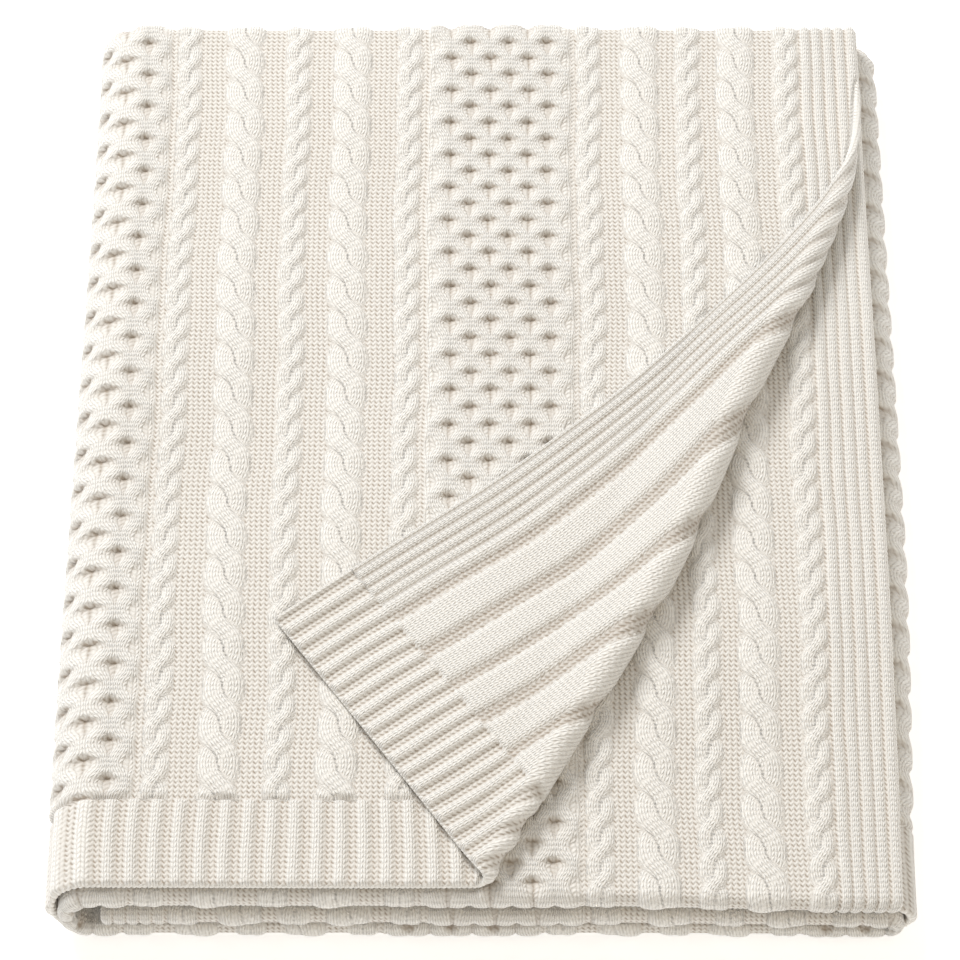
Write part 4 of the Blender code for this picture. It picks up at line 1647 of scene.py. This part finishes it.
@dataclass(frozen=True)
class EdgeStitches:
    """The row of cast-on loops that wraps the hem and the free side edge."""

    name: str = "edge_stitches"
    loop: float = 0.0026
    yarn: float = 0.00125
    inset: float = 0.0014
    reach: float = 0.0008
    half_share: float = 0.45
    thick_share: float = 0.9
    ahead: float = 0.0004
    sides: int = 6

    def tree(self) -> bpy.types.NodeTree:
        """Makes the Geometry Nodes tree that puts one loop of yarn on each point.

        Returns:
            The tree, with the loop's sizes as named inputs.
        """
        tree = bpy.data.node_groups.new("Edge loops", "GeometryNodeTree")
        face = tree.interface
        face.new_socket("Geometry", in_out="INPUT", socket_type="NodeSocketGeometry")
        for title in ("Loop width", "Yarn radius", "Reach", "Half thickness"):
            face.new_socket(title, in_out="INPUT", socket_type="NodeSocketFloat")
        face.new_socket("Yarn", in_out="INPUT", socket_type="NodeSocketMaterial")
        face.new_socket("Geometry", in_out="OUTPUT", socket_type="NodeSocketGeometry")
        make = NodeMaker(tree)
        given = make.add("NodeGroupInput").outputs
        result = make.add("NodeGroupOutput").inputs
        arch = make.add("GeometryNodeCurveQuadraticBezier")
        arch.inputs["Resolution"].default_value = self.sides
        half = make.math("MULTIPLY", given["Loop width"], self.half_share)
        ends = ((-1.0, 1.0, "Start", 0.0), (0.0, 0.0, "Middle", 2.0), (1.0, -1.0, "End", 0.0))
        for along, up, socket, out in ends:
            point = make.add("ShaderNodeCombineXYZ")
            make.join(make.math("MULTIPLY", half, along), point.inputs[0])
            make.join(make.math("MULTIPLY", given["Reach"], out), point.inputs[1])
            make.join(make.math("MULTIPLY", given["Half thickness"], up), point.inputs[2])
            make.join(point.outputs[0], arch.inputs[socket])
        ring = make.add("GeometryNodeCurvePrimitiveCircle")
        ring.inputs["Resolution"].default_value = self.sides
        make.join(given["Yarn radius"], ring.inputs["Radius"])
        sweep = make.add("GeometryNodeCurveToMesh")
        make.join(arch.outputs["Curve"], sweep.inputs["Curve"])
        make.join(ring.outputs["Curve"], sweep.inputs["Profile Curve"])
        sweep.inputs["Fill Caps"].default_value = True
        turn = make.add("FunctionNodeAxesToRotation", primary_axis="X", secondary_axis="Y")
        for name, socket in (("along", "Primary Axis"), ("out", "Secondary Axis")):
            read = make.add("GeometryNodeInputNamedAttribute", data_type="FLOAT_VECTOR")
            read.inputs["Name"].default_value = name
            make.join(read.outputs["Attribute"], turn.inputs[socket])
        copies = make.add("GeometryNodeInstanceOnPoints")
        make.join(given["Geometry"], copies.inputs["Points"])
        make.join(sweep.outputs["Mesh"], copies.inputs["Instance"])
        make.join(turn.outputs["Rotation"], copies.inputs["Rotation"])
        real = make.add("GeometryNodeRealizeInstances")
        make.join(copies.outputs["Instances"], real.inputs["Geometry"])
        soft = make.add("GeometryNodeSetShadeSmooth")
        make.join(real.outputs["Geometry"], soft.inputs["Geometry"])
        dress = make.add("GeometryNodeSetMaterial")
        make.join(soft.outputs["Geometry"], dress.inputs["Geometry"])
        make.join(given["Yarn"], dress.inputs["Material"])
        make.join(dress.outputs["Geometry"], result["Geometry"])
        return tree

    def path(self) -> tuple[Array, Array, Array]:
        """Lays out the loops' places along the hem and the free side edge.

        Returns:
            Each loop's place, the way along the edge and the way out of the cloth.
        """
        along_u = np.arange(self.loop, CLOTH.width, self.loop)
        along_v = np.arange(self.loop, CLOTH.length, self.loop)
        nil_u, nil_v = np.zeros_like(along_u), np.zeros_like(along_v)
        u, v = np.concatenate((along_u, nil_v)), np.concatenate((nil_u, along_v))
        du, dv = np.concatenate((nil_u + 1, nil_v)), np.concatenate((nil_u, nil_v + 1))
        flat = np.zeros_like(u)
        inner_u, inner_v = u + dv * self.inset, v + du * self.inset
        at = place(inner_u, inner_v, flat)
        along = place(inner_u + du * self.ahead, inner_v + dv * self.ahead, flat) - at
        out = place(u, v, flat) - at
        return at, along, out

    def build(self, material: bpy.types.Material) -> bpy.types.Object:
        """Makes the loops.

        Args:
            material: The finish of the yarn.

        Returns:
            The loops as one object.
        """
        at, along, out = self.path()
        mesh = bpy.data.meshes.new(self.name)
        mesh.from_pydata(at.tolist(), [], [])
        for name, value in (("along", along), ("out", out)):
            value = value / np.linalg.norm(value, axis=1)[:, None]
            attribute = mesh.attributes.new(name, "FLOAT_VECTOR", "POINT")
            attribute.data.foreach_set("vector", value.astype(np.float32).ravel())
        seed = bpy.data.objects.new(self.name + "_points", mesh)
        bpy.context.scene.collection.objects.link(seed)
        modifier = seed.modifiers.new("Edge loops", "NODES")
        modifier.node_group = self.tree()
        values = {
            "Loop width": self.loop,
            "Yarn radius": self.yarn,
            "Reach": self.reach,
            "Half thickness": (CLOTH.thickness / 2 - self.yarn) * self.thick_share,
            "Yarn": material,
        }
        for item in modifier.node_group.interface.items_tree:
            if item.in_out == "INPUT" and item.name in values:
                modifier[item.identifier] = values[item.name]
        seed.update_tag()
        graph = bpy.context.evaluated_depsgraph_get()
        made = bpy.data.meshes.new_from_object(seed.evaluated_get(graph), depsgraph=graph)
        seed.modifiers.remove(modifier)
        bpy.data.objects.remove(seed, do_unlink=True)
        piece = bpy.data.objects.new(self.name, made)
        bpy.context.scene.collection.objects.link(piece)
        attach(piece, BODY)
        return piece


@dataclass(frozen=True)
class Lamp:
    """One soft square lamp that faces the blanket. Its warmth goes from 0, plain white."""

    name: str
    at: tuple[float, float, float]
    size: float
    power: float
    warmth: float = 0.0
    green_share: float = 0.4

    def hang(self) -> None:
        """Hangs the lamp in the scene."""
        data = bpy.data.lights.new(self.name, "AREA")
        data.size = self.size
        data.energy = self.power
        data.color = (1.0, 1.0 - self.green_share * self.warmth, 1.0 - self.warmth)
        holder = bpy.data.objects.new(self.name, data)
        holder.location = self.at
        holder.rotation_euler = (-Vector(self.at)).to_track_quat("-Z", "Y").to_euler()
        bpy.context.scene.collection.objects.link(holder)


@dataclass(frozen=True)
class Studio:
    """The pale floor, the soft light and the camera."""

    image: float = 960.0
    focal: float = 4560.0
    sensor: float = 36.0
    eye: tuple[float, float, float] = (0.0, -1.4497, 2.0347)
    look: tuple[float, float, float] = (0.0, 0.5793, -0.8151)
    floor_half: float = 6.0
    floor_colour: tuple[float, float, float, float] = (0.95, 0.95, 0.95, 1.0)
    floor_glow: float = 0.42
    room: tuple[float, float, float, float] = (1.0, 0.995, 0.985, 1.0)
    room_strength: float = 0.60
    lamps: tuple[Lamp, ...] = (
        Lamp("key", at=(-1.75, 2.5, 3.0), size=1.55, power=152.0),
        Lamp("fill", at=(0.9, -1.6, 2.2), size=2.2, power=7.0, warmth=0.95),
    )

    def camera(self) -> None:
        """Sets the camera at the photograph's angle."""
        data = bpy.data.cameras.new("camera")
        data.sensor_width = self.sensor
        data.lens = self.focal / self.image * self.sensor
        data.clip_end = 50.0
        holder = bpy.data.objects.new("camera", data)
        holder.location = (self.eye[0] - SETTLING.middle_x, self.eye[1] - SETTLING.middle_y, self.eye[2])
        holder.rotation_euler = Vector(self.look).to_track_quat("-Z", "Y").to_euler()
        bpy.context.scene.collection.objects.link(holder)
        bpy.context.scene.camera = holder

    def floor(self) -> None:
        """Lays the plain pale floor."""
        mesh = bpy.data.meshes.new("floor")
        half = self.floor_half
        corners = [(x * half, y * half, 0) for x, y in ((-1, -1), (1, -1), (1, 1), (-1, 1))]
        mesh.from_pydata(corners, [], [(0, 1, 2, 3)])
        material = bpy.data.materials.new("pale_floor")
        material.use_nodes = True
        shader = material.node_tree.nodes["Principled BSDF"]
        shader.inputs["Base Color"].default_value = self.floor_colour
        shader.inputs["Emission Color"].default_value = (1.0, 1.0, 1.0, 1.0)
        shader.inputs["Emission Strength"].default_value = self.floor_glow
        shader.inputs["Roughness"].default_value = 0.9
        shader.inputs["Specular IOR Level"].default_value = 0.1
        mesh.materials.append(material)
        floor = bpy.data.objects.new("floor", mesh)
        bpy.context.scene.collection.objects.link(floor)

    def light(self) -> None:
        """Lights the scene: a key from the back left, a weak warm fill and a bright plain room."""
        for lamp in self.lamps:
            lamp.hang()
        world = bpy.data.worlds.new("room")
        world.use_nodes = True
        back = world.node_tree.nodes["Background"]
        back.inputs["Color"].default_value = self.room
        back.inputs["Strength"].default_value = self.room_strength
        bpy.context.scene.world = world
        bpy.context.scene.view_settings.view_transform = "Standard"


def main() -> None:
    """Builds the blanket, its edges and its studio in order, and reports each piece."""
    logging.basicConfig(level=logging.INFO, format="%(message)s")
    studio = Studio()
    studio.camera()
    stitches, fibres = StitchShape().group(), Fibres().group()
    knitted = YarnFinish().material(stitches, fibres)
    yarn = YarnFinish(name="ivory_yarn_edge", knitted=False).material(stitches, fibres)
    for piece in Blanket().build(knitted) + [EdgeStitches().build(yarn)]:
        LOG.info("%s: %d triangles", piece.name, len(piece.data.loops) - 2 * len(piece.data.polygons))
    studio.floor()
    studio.light()


if __name__ == "__main__":
    main()
